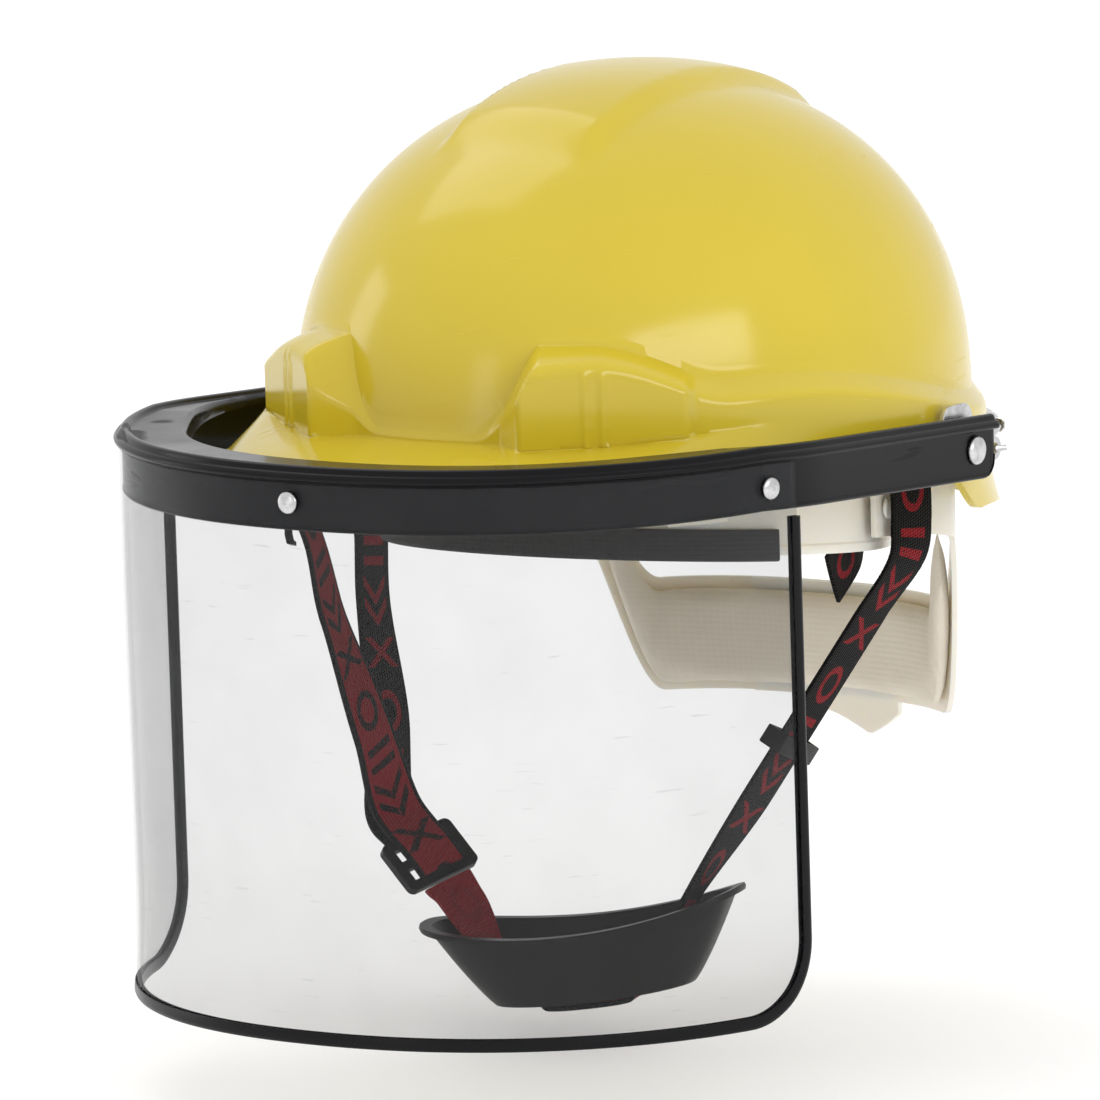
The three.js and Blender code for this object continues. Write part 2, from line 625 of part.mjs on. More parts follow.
[['left', 1], ['right', -1]].forEach(([name, side]) => {
  const plate = extruded(bracketOutline(), BRACKET_WALL);
  plate.applyMatrix4(new THREE.Matrix4().makeBasis(
    new THREE.Vector3(0, 1, 0),
    new THREE.Vector3(0, 0, 1),
    new THREE.Vector3(1, 0, 0),
  ));
  plate.translate(BRACKET_OUTER - BRACKET_WALL, 0, 0);
  if (side < 0) plate.scale(-1, 1, 1);
  piece(`pivot_bracket_${name}`, welded(plate), steel());

  const outward = new THREE.Vector3(side, 0, 0);
  const headBase = pivotPoint(side * (CARRIER_HALF_WIDTH + GAP));
  const shankLength = CARRIER_HALF_WIDTH + GAP - BRACKET_OUTER + BRACKET_WALL + 1.3;
  const rivet = solid(turnedAbout(domeHead(5, 2.2, PIVOT_SHANK, shankLength), headBase, outward, 20));
  const tail = rod(
    pivotPoint(side * (BRACKET_OUTER - BRACKET_WALL - GAP)),
    pivotPoint(side * (BRACKET_OUTER - BRACKET_WALL - 1.3)),
    4,
    20,
  );
  piece(`arm_rivet_${name}`, geometryOf(rivet.add(solid(tail))), steel());

  const bushLength = CARRIER_HALF_WIDTH - SKIRT_WALL - BRACKET_OUTER - 2 * GAP;
  const bore = PIVOT_SHANK + GAP;
  const bush = [[bore, 0], [5.2, 0], [5.2, bushLength], [bore, bushLength], [bore, 0]];
  piece(`pivot_bush_${name}`, turnedAbout(bush, pivotPoint(side * (BRACKET_OUTER + GAP)), outward, 20), blackVinyl());
});

// The spring runs round the back of the shell, just above its flared rim.
const SPRING_START = new THREE.Vector3(
  BRACKET_OUTER - BRACKET_WALL / 2,
  PIVOT_Y + BRACKET_HALF_WIDTH + BRACKET_TAIL,
  SPRING_Z,
);
const SPRING_REAR_Z = 1;
function springPoints() {
  const half = [];
  const count = 9;
  for (let i = 0; i <= count; i += 1) {
    const angle = mix(radians(38), Math.PI / 2, i / count);
    const z = mix(SPRING_Z, SPRING_REAR_Z, smooth(0, 0.7, i / count));
    const wall = wallAt(angle, z, 0);
    const away = new THREE.Vector2(wall.x / DOME_HALF_WIDTH ** 2, wall.y / DOME_HALF_LENGTH ** 2).normalize();
    const reach = SPRING_RADIUS + 0.8;
    half.push(new THREE.Vector3(wall.x + away.x * reach, wall.y + away.y * reach, z));
  }
  const mirrored = half.slice(0, -1).map((point) => new THREE.Vector3(-point.x, point.y, point.z));
  return [...mirrored, ...half.reverse()];
}
const springCurve = new THREE.CatmullRomCurve3(springPoints());
const circle = (radius, sides) => {
  const shape = new THREE.Shape();
  for (let i = 0; i < sides; i += 1) {
    const [x, y] = [radius * Math.cos((2 * Math.PI * i) / sides), radius * Math.sin((2 * Math.PI * i) / sides)];
    if (i === 0) shape.moveTo(x, y);
    else shape.lineTo(x, y);
  }
  return shape;
};
piece('tension_spring', welded(new THREE.ExtrudeGeometry(circle(SPRING_RADIUS, 10), {
  steps: 44,
  extrudePath: springCurve,
})), steel());

// A wire hook joins each end of the spring to its bracket.
[['left', 1], ['right', -1]].forEach(([name, side]) => {
  const end = springCurve.getPoint(side > 0 ? 1 : 0);
  const back = springCurve.getTangent(side > 0 ? 1 : 0).multiplyScalar(side);
  const from = end.clone().addScaledVector(back, GAP + 0.2);
  const hole = new THREE.Vector3(SPRING_START.x * side, SPRING_START.y, SPRING_START.z);
  const path = new THREE.CatmullRomCurve3([
    from,
    from.clone().addScaledVector(back, 2.5),
    new THREE.Vector3(hole.x - side * 5, hole.y + 4.2, hole.z),
    new THREE.Vector3(hole.x - side * 1.6, hole.y + 0.2, hole.z),
    new THREE.Vector3(hole.x + side * 1.6, hole.y - 0.2, hole.z),
    new THREE.Vector3(hole.x + side * 3.6, hole.y + 2.6, hole.z),
  ]);
  piece(`spring_hook_${name}`, welded(new THREE.ExtrudeGeometry(circle(1, 8), { steps: 16, extrudePath: path })), steel());
});

// ---------------------------------------------------------------- cradle
// A band of the cradle's plan ellipse: inward and up are measured from the band's middle line.
function bandPoint(angle, inward, up, drop = 0) {
  const x = (BAND_HALF_WIDTH - inward) * Math.cos(angle);
  const y = (BAND_HALF_LENGTH - inward) * Math.sin(angle);
  return new THREE.Vector3(x, y, bandHeight(y) + up - drop);
}
function bandHeight(y) {
  return -14 - BAND_TILT * y;
}
const HALF_BAND = BAND_HEIGHT / 2;

piece('headband', turned(
  [[0, -HALF_BAND], [BAND_WALL, -HALF_BAND], [BAND_WALL, HALF_BAND], [0, HALF_BAND], [0, -HALF_BAND]]
    .map(([inward, up]) => [100 - inward, up]),
  56,
  (angle, radius, up) => bandPoint(angle, 100 - radius, up),
), milkyPlastic());

// The sweatband is folded over the front of the headband's lower edge.
const SWEATBAND_WALL = 3.6;
const sweatbandSection = [
  [-GAP - 1.2, -HALF_BAND + 9],
  [-GAP - 1.2, -HALF_BAND - 2.2],
  [BAND_WALL + GAP + SWEATBAND_WALL, -HALF_BAND - 2.2],
  [BAND_WALL + GAP + SWEATBAND_WALL, HALF_BAND],
  [BAND_WALL + GAP, HALF_BAND],
  [BAND_WALL + GAP, -HALF_BAND - GAP],
  [-GAP, -HALF_BAND - GAP],
  [-GAP, -HALF_BAND + 9],
];
piece('sweatband', swept(sweatbandSection, 26, (step, inward, up) =>
  bandPoint(radians(mix(-152, -18, step / 26)), inward, up)), blackFoam());

// The two nape straps drop from the headband's sides and overlap behind the neck.
const NAPE_OFFSET = 2.4; // outside the headband
const NAPE_SPREAD = 8; // how far the straps stand out from the headband at the sides
const NAPE_BULGE = 14; // how much further back the straps pass than the headband
const NAPE_POWER = 2.6; // squareness of the straps' plan
const NAPE_START = 12; // degrees from +X, where a strap leaves the headband
const NAPE_OVERLAP = 13; // degrees past the middle of the nape
const NAPE_TOP_HEIGHT = 20;

function napePoint(degrees, outward, share) {
  const angle = radians(degrees);
  const turn = 90 - Math.abs(90 - degrees);
  const spread = smooth(NAPE_START + 5, NAPE_START + 22, turn);
  const lowered = smooth(NAPE_START + 21, NAPE_START + 44, turn);
  const height = mix(NAPE_TOP_HEIGHT, NAPE_HEIGHT, smooth(NAPE_START + 14, NAPE_START + 46, turn));
  const exponent = mix(1, 2 / NAPE_POWER, spread);
  const halfWidth = BAND_HALF_WIDTH + NAPE_OFFSET + NAPE_SPREAD * spread + outward;
  const halfLength = BAND_HALF_LENGTH + NAPE_OFFSET + NAPE_BULGE * spread + outward;
  const x = halfWidth * power(Math.cos(angle), exponent);
  const y = halfLength * power(Math.sin(angle), exponent);
  const middle = mix(bandHeight(y), NAPE_Z, lowered);
  return new THREE.Vector3(x, y, middle + share * height);
}

[['left', 1, 0], ['right', -1, BAND_WALL + GAP]].forEach(([name, side, outward]) => {
  const section = [[outward, -0.5], [outward + BAND_WALL, -0.5], [outward + BAND_WALL, 0.5], [outward, 0.5]];
  const last = side > 0 ? 90 + NAPE_OVERLAP : 90 - NAPE_OVERLAP;
  const first = side > 0 ? NAPE_START : 180 - NAPE_START;
  piece(`nape_strap_${name}`, swept(section, 26, (step, out, share) => {
    const degrees = mix(first, last, step / 26);
    const near = smooth(NAPE_START + 30, NAPE_START + 60, 90 - Math.abs(90 - degrees));
    const point = napePoint(degrees, mix(out - outward, out, near), share);
    const tab = share < 0 && side < 0 ? 13 * Math.max(0, 1 - Math.abs(degrees - 84) / 9) : 0;
    point.z -= tab;
    return point;
  }), milkyPlastic());
});

// Studs hold the straps to the headband's sides and to each other at the nape.
function stud(name, outer, inward, length, radius, material) {
  const head = [[0, 0], [radius * 1.8, 0], [radius * 1.8, 1.1], [0, 1.1]];
  const shank = [[0, 0.9], [radius, 0.9], [radius, length], [0, length]];
  const body = solid(turnedAbout(head, outer, inward, 12)).add(solid(turnedAbout(shank, outer, inward, 12)));
  piece(name, geometryOf(body), material);
  return solid(turnedAbout([[0, 0.5], [radius + GAP, 0.5], [radius + GAP, length + 2], [0, length + 2]], outer, inward, 12));
}
const napeOutward = (degrees) => new THREE.Vector3(
  Math.cos(radians(degrees)) / (BAND_HALF_WIDTH + NAPE_OFFSET),
  Math.sin(radians(degrees)) / (BAND_HALF_LENGTH + NAPE_OFFSET + NAPE_BULGE),
  0,
).normalize();
const meshOf = (name) => model.children.find((child) => child.name === name);
function cut(name, tool) {
  const mesh = meshOf(name);
  mesh.geometry = geometryOf(solid(mesh.geometry.clone()).subtract(tool));
}
[['left', NAPE_START + 5], ['right', 180 - NAPE_START - 5]].forEach(([name, degrees]) => {
  const outward = new THREE.Vector3(
    Math.cos(radians(degrees)) / BAND_HALF_WIDTH,
    Math.sin(radians(degrees)) / BAND_HALF_LENGTH,
    0,
  ).normalize();
  const base = napePoint(degrees, BAND_WALL + GAP + 1.2, 0);
  const length = 1.2 + GAP + BAND_WALL + NAPE_OFFSET + BAND_WALL;
  const hole = stud(`band_stud_${name}`, base, outward.negate(), length - 0.2, 2, milkyPlastic());
  cut(`nape_strap_${name}`, hole);
  cut('headband', hole);
});
[['left', 85], ['right', 95]].forEach(([name, degrees]) => {
  const base = napePoint(degrees, 2 * BAND_WALL + 2 * GAP + 1.2, 0);
  const hole = stud(`nape_stud_${name}`, base, napeOutward(degrees).negate(), 1.2 + 2 * BAND_WALL + 2 * GAP, 2.2, milkyPlastic());
  cut('nape_strap_left', hole);
  cut('nape_strap_right', hole);
});

// The nape pad lies against the inside of the nape straps.
const PAD_WALL = 6;
const padSection = [
  [-GAP - 0.5, -0.43],
  [-GAP - PAD_WALL + 1.5, -0.43],
  [-GAP - PAD_WALL, -0.36],
  [-GAP - PAD_WALL, 0.36],
  [-GAP - PAD_WALL + 1.5, 0.43],
  [-GAP - 0.5, 0.43],
];
piece('nape_pad', swept(padSection, 24, (step, out, share) => {
  const degrees = mix(42, 138, step / 24);
  const turn = 90 - Math.abs(90 - degrees);
  const settle = smooth(42, 60, turn);
  return napePoint(degrees, out, share * mix(0.8, 1, settle));
}), beigeFoam());

// Crown straps cross under the dome between four keys on the headband.
const KEY_ANGLES = { front_left: -38, rear_left: 52, rear_right: 128, front_right: 218 };
const KEY_WIDTH = 22;
const KEY_WALL = 2.2;
function keyFrame(degrees) {
  const angle = radians(degrees);
  const outward = new THREE.Vector3(
    Math.cos(angle) / BAND_HALF_WIDTH,
    Math.sin(angle) / BAND_HALF_LENGTH,
    0,
  ).normalize();
  const foot = bandPoint(angle, 0, 0);
  const sideways = new THREE.Vector3(-outward.y, outward.x, 0);
  return { foot, outward, sideways };
}
function wallDistance(frame, z) {
  let reach = 0;
  for (let step = 0; step < 400; step += 1) {
    const x = frame.foot.x + frame.outward.x * reach;
    const y = frame.foot.y + frame.outward.y * reach;
    const wall = wallAt(Math.atan2(y / DOME_HALF_LENGTH, x / DOME_HALF_WIDTH), z, SHELL_WALL);
    if (Math.hypot(x, y) > Math.hypot(wall.x, wall.y)) break;
    reach += 0.1;
  }
  return reach;
}
// An upright plate on the headband, a step out to the shell and a plate on its wall.
Object.entries(KEY_ANGLES).forEach(([name, degrees]) => {
  const frame = keyFrame(degrees);
  const start = 1.2 + GAP;
  const low = -HALF_BAND + 11;
  const top = 34 - frame.foot.z;
  const edge = KEY_WIDTH / 2;
  const reaches = [0, 14].map((drop) => [0, 1, 2, 3, 4].map((i) => {
    const sideStep = mix(-edge, edge, i / 4);
    const shifted = { foot: frame.foot.clone().addScaledVector(frame.sideways, sideStep), outward: frame.outward };
    return wallDistance(shifted, frame.foot.z + top - drop);
  }));
  const reach = Math.min(...reaches.flat()) - GAP - 0.5;
  const section = [
    [start, low],
    [start + KEY_WALL, low],
    [start + KEY_WALL, top - 16],
    [reach - KEY_WALL, top - 16],
    [reach, top - 14],
    [reach, top],
    [reach - KEY_WALL, top],
    [reach - KEY_WALL, top - 12.5],
    [start + KEY_WALL - 2, top - 12.5],
    [start, top - 14.5],
  ];
  piece(`cradle_key_${name}`, swept(section, 1, (step, out, up) => {
    const point = frame.foot.clone().addScaledVector(frame.outward, out);
    point.addScaledVector(frame.sideways, mix(-edge, edge, step));
    point.z += up;
    return point;
  }), milkyPlastic());
});

// A crown strap is an arch in the upright plane through two opposite keys.
function crownStrap(name, from, to, lift) {
  const points = [];
  const count = 22;
  const frames = [from, to].map(keyFrame);
  const [first, last] = frames.map((frame) => {
    const spot = frame.foot.clone().addScaledVector(frame.outward, -CROWN_STRAP_WALL / 2);
    return spot.setZ(spot.z + HALF_BAND + 4);
  });
  for (let i = 0; i <= count; i += 1) {
    const turn = (Math.PI * i) / count;
    const point = first.clone().lerp(last, (1 - Math.cos(turn)) / 2);
    const rise = DOME_BASE + DOME_HEIGHT - CROWN_CLEARANCE + lift - point.z;
    point.z += rise * Math.sin(turn) ** 0.8;
    points.push(point);
  }
  const along = last.clone().sub(first).setZ(0).normalize();
  const across = new THREE.Vector3(-along.y, along.x, 0);
  const ends = frames.map(({ sideways }) => sideways.clone().multiplyScalar(Math.sign(sideways.dot(across))));
  const directions = points.map((_, i) => {
    const end = ends[i < count / 2 ? 0 : 1];
    return end.clone().lerp(across, smooth(0.1, 0.35, Math.min(i, count - i) / count));
  });
  piece(name, ribbon(points, directions, CROWN_STRAP_WIDTH, CROWN_STRAP_WALL, 30), milkyPlastic());
}

// A flat strap through the given points; each has its own direction across the strap.
function ribbon(points, directions, width, wall, steps) {
  const curve = new THREE.CatmullRomCurve3(points, false, 'centripetal');
  curve.arcLengthDivisions = 400;
  const turn = new THREE.CatmullRomCurve3(directions);
  const section = [[-width / 2, -wall / 2], [width / 2, -wall / 2], [width / 2, wall / 2], [-width / 2, wall / 2]];
  return swept(section, steps, (step, across, up) => {
    const share = step / steps;
    const along = curve.getTangentAt(share);
    const sideways = turn.getPoint(curve.getUtoTmapping(share));
    sideways.addScaledVector(along, -sideways.dot(along)).normalize();
    const outward = new THREE.Vector3().crossVectors(along, sideways);
    return curve.getPointAt(share).addScaledVector(sideways, across).addScaledVector(outward, up);
  });
}
crownStrap('crown_strap_lower', KEY_ANGLES.front_left, KEY_ANGLES.rear_right, 0);
crownStrap('crown_strap_upper', KEY_ANGLES.front_right, KEY_ANGLES.rear_left, CROWN_STRAP_WALL + 3.2);

const CROWN_TOP = DOME_BASE + DOME_HEIGHT - CROWN_CLEARANCE;
const crownPad = [
  [0, -5.6],
  [24, -5.6],
  [30, -4.6],
  [31, -3.2],
  [30, -1.8],
  [24, -CROWN_STRAP_WALL / 2 - GAP - 0.4],
  [0, -CROWN_STRAP_WALL / 2 - GAP - 0.4],
];
piece('crown_pad', turned(crownPad, 24, (angle, radius, height) => {
  const sag = 0.0125 * radius * radius;
  return new THREE.Vector3(radius * Math.cos(angle), radius * Math.sin(angle), CROWN_TOP + height - sag);
}), blackFoam());

// ---------------------------------------------------------------- chin strap
// Lugs on the shell's inner wall that the webbing loops through.
const LUG_Z = 9;
const LUGS = {
  right_front: { degrees: 207, lowest: -6 },
  right_rear: { degrees: 183, lowest: -8 },
};
const LUG_WALL = 2.6;
const lugSpots = {};
Object.entries(LUGS).forEach(([name, { degrees, lowest }]) => {
  const angle = radians(degrees);
  const probes = [-9, -4, 0, 4, 9].map((step) => wallAt(angle + radians(step * 0.55), LUG_Z, SHELL_WALL));
  const upperProbes = [-9, 0, 9].map((step) => wallAt(angle + radians(step * 0.55), 20, SHELL_WALL));
  const outward = new THREE.Vector3(Math.cos(angle) / DOME_HALF_WIDTH, Math.sin(angle) / DOME_HALF_LENGTH, 0).normalize();
  const face = Math.min(...[...probes, ...upperProbes].map((point) => point.x * outward.x + point.y * outward.y)) - GAP - 0.3;
  const sideways = new THREE.Vector3(-outward.y, outward.x, 0);
  const middle = probes[2].x * sideways.x + probes[2].y * sideways.y;
  const plate = new THREE.Shape();
  plate.moveTo(-14, lowest);
  plate.lineTo(14, lowest);
  plate.lineTo(14, 9);
  plate.lineTo(8, 16);
  plate.lineTo(-8, 16);
  plate.lineTo(-14, 9);
  const slot = new THREE.Path();
  slot.moveTo(-10.8, lowest + 3);
  slot.lineTo(-10.8, lowest + 7.5);
  slot.lineTo(10.8, lowest + 7.5);
  slot.lineTo(10.8, lowest + 3);
  plate.holes.push(slot);
  const lug = extruded(plate, LUG_WALL);
  const place = new THREE.Matrix4().makeBasis(sideways, new THREE.Vector3(0, 0, 1), outward);
  place.setPosition(
    outward.x * (face - LUG_WALL) + sideways.x * middle,
    outward.y * (face - LUG_WALL) + sideways.y * middle,
    0,
  );
  lug.applyMatrix4(place);
  piece(`strap_lug_${name}`, welded(lug), blackVinyl());
  lugSpots[name] = {
    outward,
    sideways,
    foot: new THREE.Vector3(
      outward.x * (face - LUG_WALL / 2) + sideways.x * middle,
      outward.y * (face - LUG_WALL / 2) + sideways.y * middle,
      lowest,
    ),
  };
});

// The chin cup hangs a little turned, with its left end higher.
const CUP_CENTRE = new THREE.Vector3(-10.2, -25, -159.3);
const CUP_YAW = 15;
const CUP_ROLL = -8;
const cupFrame = new THREE.Matrix4().makeRotationZ(radians(CUP_YAW))
  .multiply(new THREE.Matrix4().makeRotationY(radians(CUP_ROLL)))
  .setPosition(CUP_CENTRE);
const CUP_ROWS = 7;
const CUP_RISE = 7; // the rim's ends stand this much above its middle

function cupPoint(row, angle, inset) {
  const [across, aft] = [Math.cos(angle), Math.sin(angle)];
  const wallRow = clamp(row - 2, 0, CUP_ROWS - 2) / (CUP_ROWS - 2);
  const floorShare = Math.min(row, 2) / 2;
  const taper = mix(0.64, 1, wallRow ** 0.9);
  const halfLength = (CUP_LENGTH / 2) * taper - inset;
  const halfWidth = (CUP_WIDTH / 2) * mix(0.62, 1, wallRow ** 0.8) - inset;
  const x = halfLength * floorShare * power(across, 2 / 2.6);
  const y = halfWidth * floorShare * power(aft, 2 / 2.6);
  const rise = CUP_RISE * (Math.abs(x) / (CUP_LENGTH / 2)) ** 2 * mix(0.5, 1, wallRow);
  const floor = -CUP_DEPTH + inset;
  return new THREE.Vector3(x, y, mix(floor, 0, wallRow) + rise);
}
const CUP_SLOT_X = 17;
const CUP_SLOT_WIDTH = 5;
const CUP_FLANGE = 2.4;
const cupOutline = Array.from({ length: CUP_ROWS + 1 }, (_, row) => [row, 0]);
const cupInside = cupOutline.map(([row]) => [row, 1]).reverse();
const cupRim = [[CUP_ROWS, 2], [CUP_ROWS, 3]];
let cup = solid(turned([...cupOutline.slice(0, -1), ...cupRim, ...cupInside], 36, (angle, row, face) => {
  const kind = Math.round(face);
  if (kind < 2) return cupPoint(Math.round(row), angle, kind * CUP_WALL);
  const rim = cupPoint(CUP_ROWS, angle, -CUP_FLANGE);
  rim.z -= kind === 2 ? 2.2 : 0;
  return rim;
}));
[-1, 1].forEach((side) => {
  const slot = new THREE.BoxGeometry(CUP_SLOT_WIDTH, WEBBING_WIDTH + 2, 16);
  slot.translate(side * CUP_SLOT_X, 0, -CUP_DEPTH);
  cup = cup.subtract(solid(slot));
});
const cupMesh = geometryOf(cup);
cupMesh.applyMatrix4(cupFrame);
piece('chin_cup', welded(cupMesh), greyCup());

// The webbing under the cup, from slot to slot.
const FLOOR_Z = -CUP_DEPTH + CUP_WALL + WEBBING_WALL / 2 + 1.2;
const inCup = (x, y, z) => new THREE.Vector3(x, y, z).applyMatrix4(cupFrame);
const cupSideways = new THREE.Vector3(0, 1, 0).transformDirection(cupFrame);
const underCup = -CUP_DEPTH - WEBBING_WALL / 2 - 0.5;
piece('chin_strap_under_cup', ribbon(
  [
    inCup(-CUP_SLOT_X, 0, -CUP_DEPTH + 1.5),
    inCup(-CUP_SLOT_X + 1.2, 0, underCup + 0.4),
    inCup(-CUP_SLOT_X + 5, 0, underCup - 0.4),
    inCup(CUP_SLOT_X - 5, 0, underCup - 0.4),
    inCup(CUP_SLOT_X - 1.2, 0, underCup + 0.4),
    inCup(CUP_SLOT_X, 0, -CUP_DEPTH + 1.5),
  ],
  Array(6).fill(cupSideways),
  WEBBING_WIDTH,
  WEBBING_WALL,
  20,
), redWebbing());

// Slider that gathers the two straps of the wearer's right side.
const SLIDER = new THREE.Vector3(-72.7, -27, -140.2);
const SLIDER_WIDTH = 30;
const SLIDER_HEIGHT = 20;
const SLIDER_WALL = 3.2;
const sliderTarget = inCup(-CUP_LENGTH * 0.22, 0, FLOOR_Z + 3);
const sliderDown = sliderTarget.clone().sub(SLIDER).normalize();
const sliderAcross = new THREE.Vector3(0.66, 0.72, -0.2);
sliderAcross.addScaledVector(sliderDown, -sliderAcross.dot(sliderDown)).normalize();
const sliderOut = new THREE.Vector3().crossVectors(sliderAcross, sliderDown);
function plateWithSlots(width, height, wall, slots, corner) {
  const shape = new THREE.Shape();
  const [w, h] = [width / 2, height / 2];
  shape.moveTo(-w + corner, -h);
  shape.lineTo(w - corner, -h);
  shape.absarc(w - corner, -h + corner, corner, -Math.PI / 2, 0, false);
  shape.absarc(w - corner, h - corner, corner, 0, Math.PI / 2, false);
  shape.absarc(-w + corner, h - corner, corner, Math.PI / 2, Math.PI, false);
  shape.absarc(-w + corner, -h + corner, corner, Math.PI, 1.5 * Math.PI, false);
  slots.forEach(([low, high]) => {
    const slot = new THREE.Path();
    const edge = WEBBING_WIDTH / 2 + 1.2;
    slot.moveTo(-edge, low);
    slot.lineTo(-edge, high);
    slot.lineTo(edge, high);
    slot.lineTo(edge, low);
    shape.holes.push(slot);
  });
  const plate = extruded(shape, wall);
  plate.translate(0, 0, -wall / 2);
  return plate;
}
const slider = plateWithSlots(SLIDER_WIDTH, SLIDER_HEIGHT, SLIDER_WALL, [[-6.5, -1.6], [1.6, 6.5]], 2.5);
slider.applyMatrix4(new THREE.Matrix4().makeBasis(sliderAcross, sliderDown, sliderOut).setPosition(SLIDER));
piece('strap_slider', welded(slider), blackVinyl());

const sliderSpot = (down, out = 0) => SLIDER.clone().addScaledVector(sliderDown, down).addScaledVector(sliderOut, out);
const SLIDER_REACH = SLIDER_HEIGHT / 2 + 1;
function lugStart(name) {
  const lug = lugSpots[name];
  return [lug.foot.clone().setZ(lug.foot.z - WEBBING_WALL - 3 * GAP), lug.sideways];
}

const forward = (x, y, z = 0) => new THREE.Vector3(x, y, z).normalize();
[['right_front', 2.2, forward(-0.25, 1)], ['right_rear', -2.2, forward(-0.05, 1)]].forEach(([name, out, twist]) => {
  const [start, across] = lugStart(name);
  const away = across.dot(twist) < 0 ? across.clone().negate() : across;
  const end = sliderSpot(-SLIDER_REACH, -out);
  piece(`chin_strap_${name}`, ribbon(
    [
      start,
      start.clone().lerp(end, 0.12).add(new THREE.Vector3(2.5, 0, 0)),
      start.clone().lerp(end, 0.35).add(new THREE.Vector3(-1, 0, 0)),
      start.clone().lerp(end, 0.7).add(new THREE.Vector3(-2, 0, 0)),
      sliderSpot(-SLIDER_REACH - 10, -1.3 * out),
      end,
    ],
    [away, away.clone().lerp(twist, 0.4), twist, twist.clone().lerp(sliderAcross, 0.5), sliderAcross, sliderAcross],
    WEBBING_WIDTH,
    WEBBING_WALL,
    24,
  ), name === 'right_front' ? redWebbing() : webbing());
});

piece('chin_strap_right_lower', ribbon(
  [
    sliderSpot(SLIDER_REACH),
    sliderSpot(SLIDER_REACH + 8),
    inCup(-CUP_LENGTH * 0.3, 0, FLOOR_Z + 12),
    inCup(-CUP_SLOT_X - 7, 0, FLOOR_Z + 0.8),
    inCup(-CUP_SLOT_X - 2, 0, FLOOR_Z),
  ],
  [sliderAcross, sliderAcross.clone().lerp(cupSideways, 0.3), cupSideways, cupSideways, cupSideways],
  WEBBING_WIDTH,
  WEBBING_WALL,
  20,
), redWebbing());

// The strap of the wearer's left side loops over the headband and runs down through its keeper.
const LOOP_Y = 38;
const loopAcross = forward(0.15, 1);
const loopInside = forward(-0.38, 1);
const bandX = (inward) => (BAND_HALF_WIDTH - inward) * Math.sqrt(1 - (LOOP_Y / (BAND_HALF_LENGTH - inward)) ** 2);
const outerX = bandX(-NAPE_OFFSET - BAND_WALL) + 7.7;
const innerX = bandX(BAND_WALL) - 3.6;
const loopTop = bandHeight(LOOP_Y) + HALF_BAND;
const loopFoot = bandHeight(LOOP_Y) - HALF_BAND;
const leftStart = new THREE.Vector3(outerX - 0.5, LOOP_Y - 2, loopFoot - 1);
const leftTwist = forward(0.05, 1);
const leftEnd = inCup(CUP_SLOT_X + 2, 0, FLOOR_Z);
const leftEntry = inCup(CUP_LENGTH * 0.29, 0, FLOOR_Z + 17);
const KEEPER_SHARE = 0.51;
const leftRun = (share) => leftStart.clone().lerp(leftEntry, share);
piece('chin_strap_left', ribbon(
  [
    new THREE.Vector3(innerX + 4.5, LOOP_Y - 30, loopFoot - 6),
    new THREE.Vector3(innerX + 3, LOOP_Y - 16, loopFoot + 2),
    new THREE.Vector3(innerX + 0.6, LOOP_Y - 4, loopFoot + 11),
    new THREE.Vector3(innerX, LOOP_Y, loopTop - 6),
    new THREE.Vector3(innerX + 0.5, LOOP_Y, loopTop + 3),
    new THREE.Vector3((innerX + outerX) / 2, LOOP_Y, loopTop + 6.5),
    new THREE.Vector3(outerX - 0.5, LOOP_Y, loopTop + 3),
    new THREE.Vector3(outerX, LOOP_Y, loopTop - 6),
    new THREE.Vector3(outerX, LOOP_Y, loopFoot + 10),
    leftStart,
    leftRun(0.16),
    leftRun(KEEPER_SHARE - 0.14),
    leftRun(KEEPER_SHARE + 0.14),
    leftEntry,
    inCup(CUP_SLOT_X + 9, 0, FLOOR_Z + 2.2),
    leftEnd,
  ],
  [
    forward(-0.1, 0.6, -0.8),
    forward(-0.1, 0.6, -0.8),
    loopInside,
    loopInside,
    loopInside,
    forward(-0.1, 1),
    loopAcross,
    loopAcross,
    loopAcross,
    loopAcross.clone().lerp(leftTwist, 0.4),
    leftTwist,
    leftTwist,
    leftTwist,
    cupSideways,
    cupSideways,
    cupSideways,
  ],
  WEBBING_WIDTH,
  WEBBING_WALL,
  60,
), webbing());

// Keeper: a flat loop that slides on the left strap and holds its doubled end.
const keeperSpot = leftRun(KEEPER_SHARE);
const keeperDown = leftRun(1).sub(leftRun(0)).normalize();
const keeperAcross = leftTwist.clone();
keeperAcross.addScaledVector(keeperDown, -keeperAcross.dot(keeperDown)).normalize();
const keeperOut = new THREE.Vector3().crossVectors(keeperAcross, keeperDown);
const keeperLoop = new THREE.Shape();
const [keeperEdge, keeperFace] = [WEBBING_WIDTH / 2 + 3, WEBBING_WALL / 2 + 3.6];
keeperLoop.moveTo(-keeperEdge, -keeperFace);
keeperLoop.lineTo(keeperEdge, -keeperFace);
keeperLoop.lineTo(keeperEdge, keeperFace);
keeperLoop.lineTo(-keeperEdge, keeperFace);
const keeperHole = new THREE.Path();
const [holeEdge, holeFace] = [WEBBING_WIDTH / 2 + 1.4, WEBBING_WALL / 2 + 2];
keeperHole.moveTo(-holeEdge, -holeFace);
keeperHole.lineTo(-holeEdge, holeFace);
keeperHole.lineTo(holeEdge, holeFace);
keeperHole.lineTo(holeEdge, -holeFace);
keeperLoop.holes.push(keeperHole);
const KEEPER_HEIGHT = 7;
const keeper = extruded(keeperLoop, KEEPER_HEIGHT);
keeper.translate(0, 0, -KEEPER_HEIGHT / 2);
keeper.applyMatrix4(new THREE.Matrix4().makeBasis(keeperAcross, keeperOut.negate(), keeperDown).setPosition(keeperSpot));
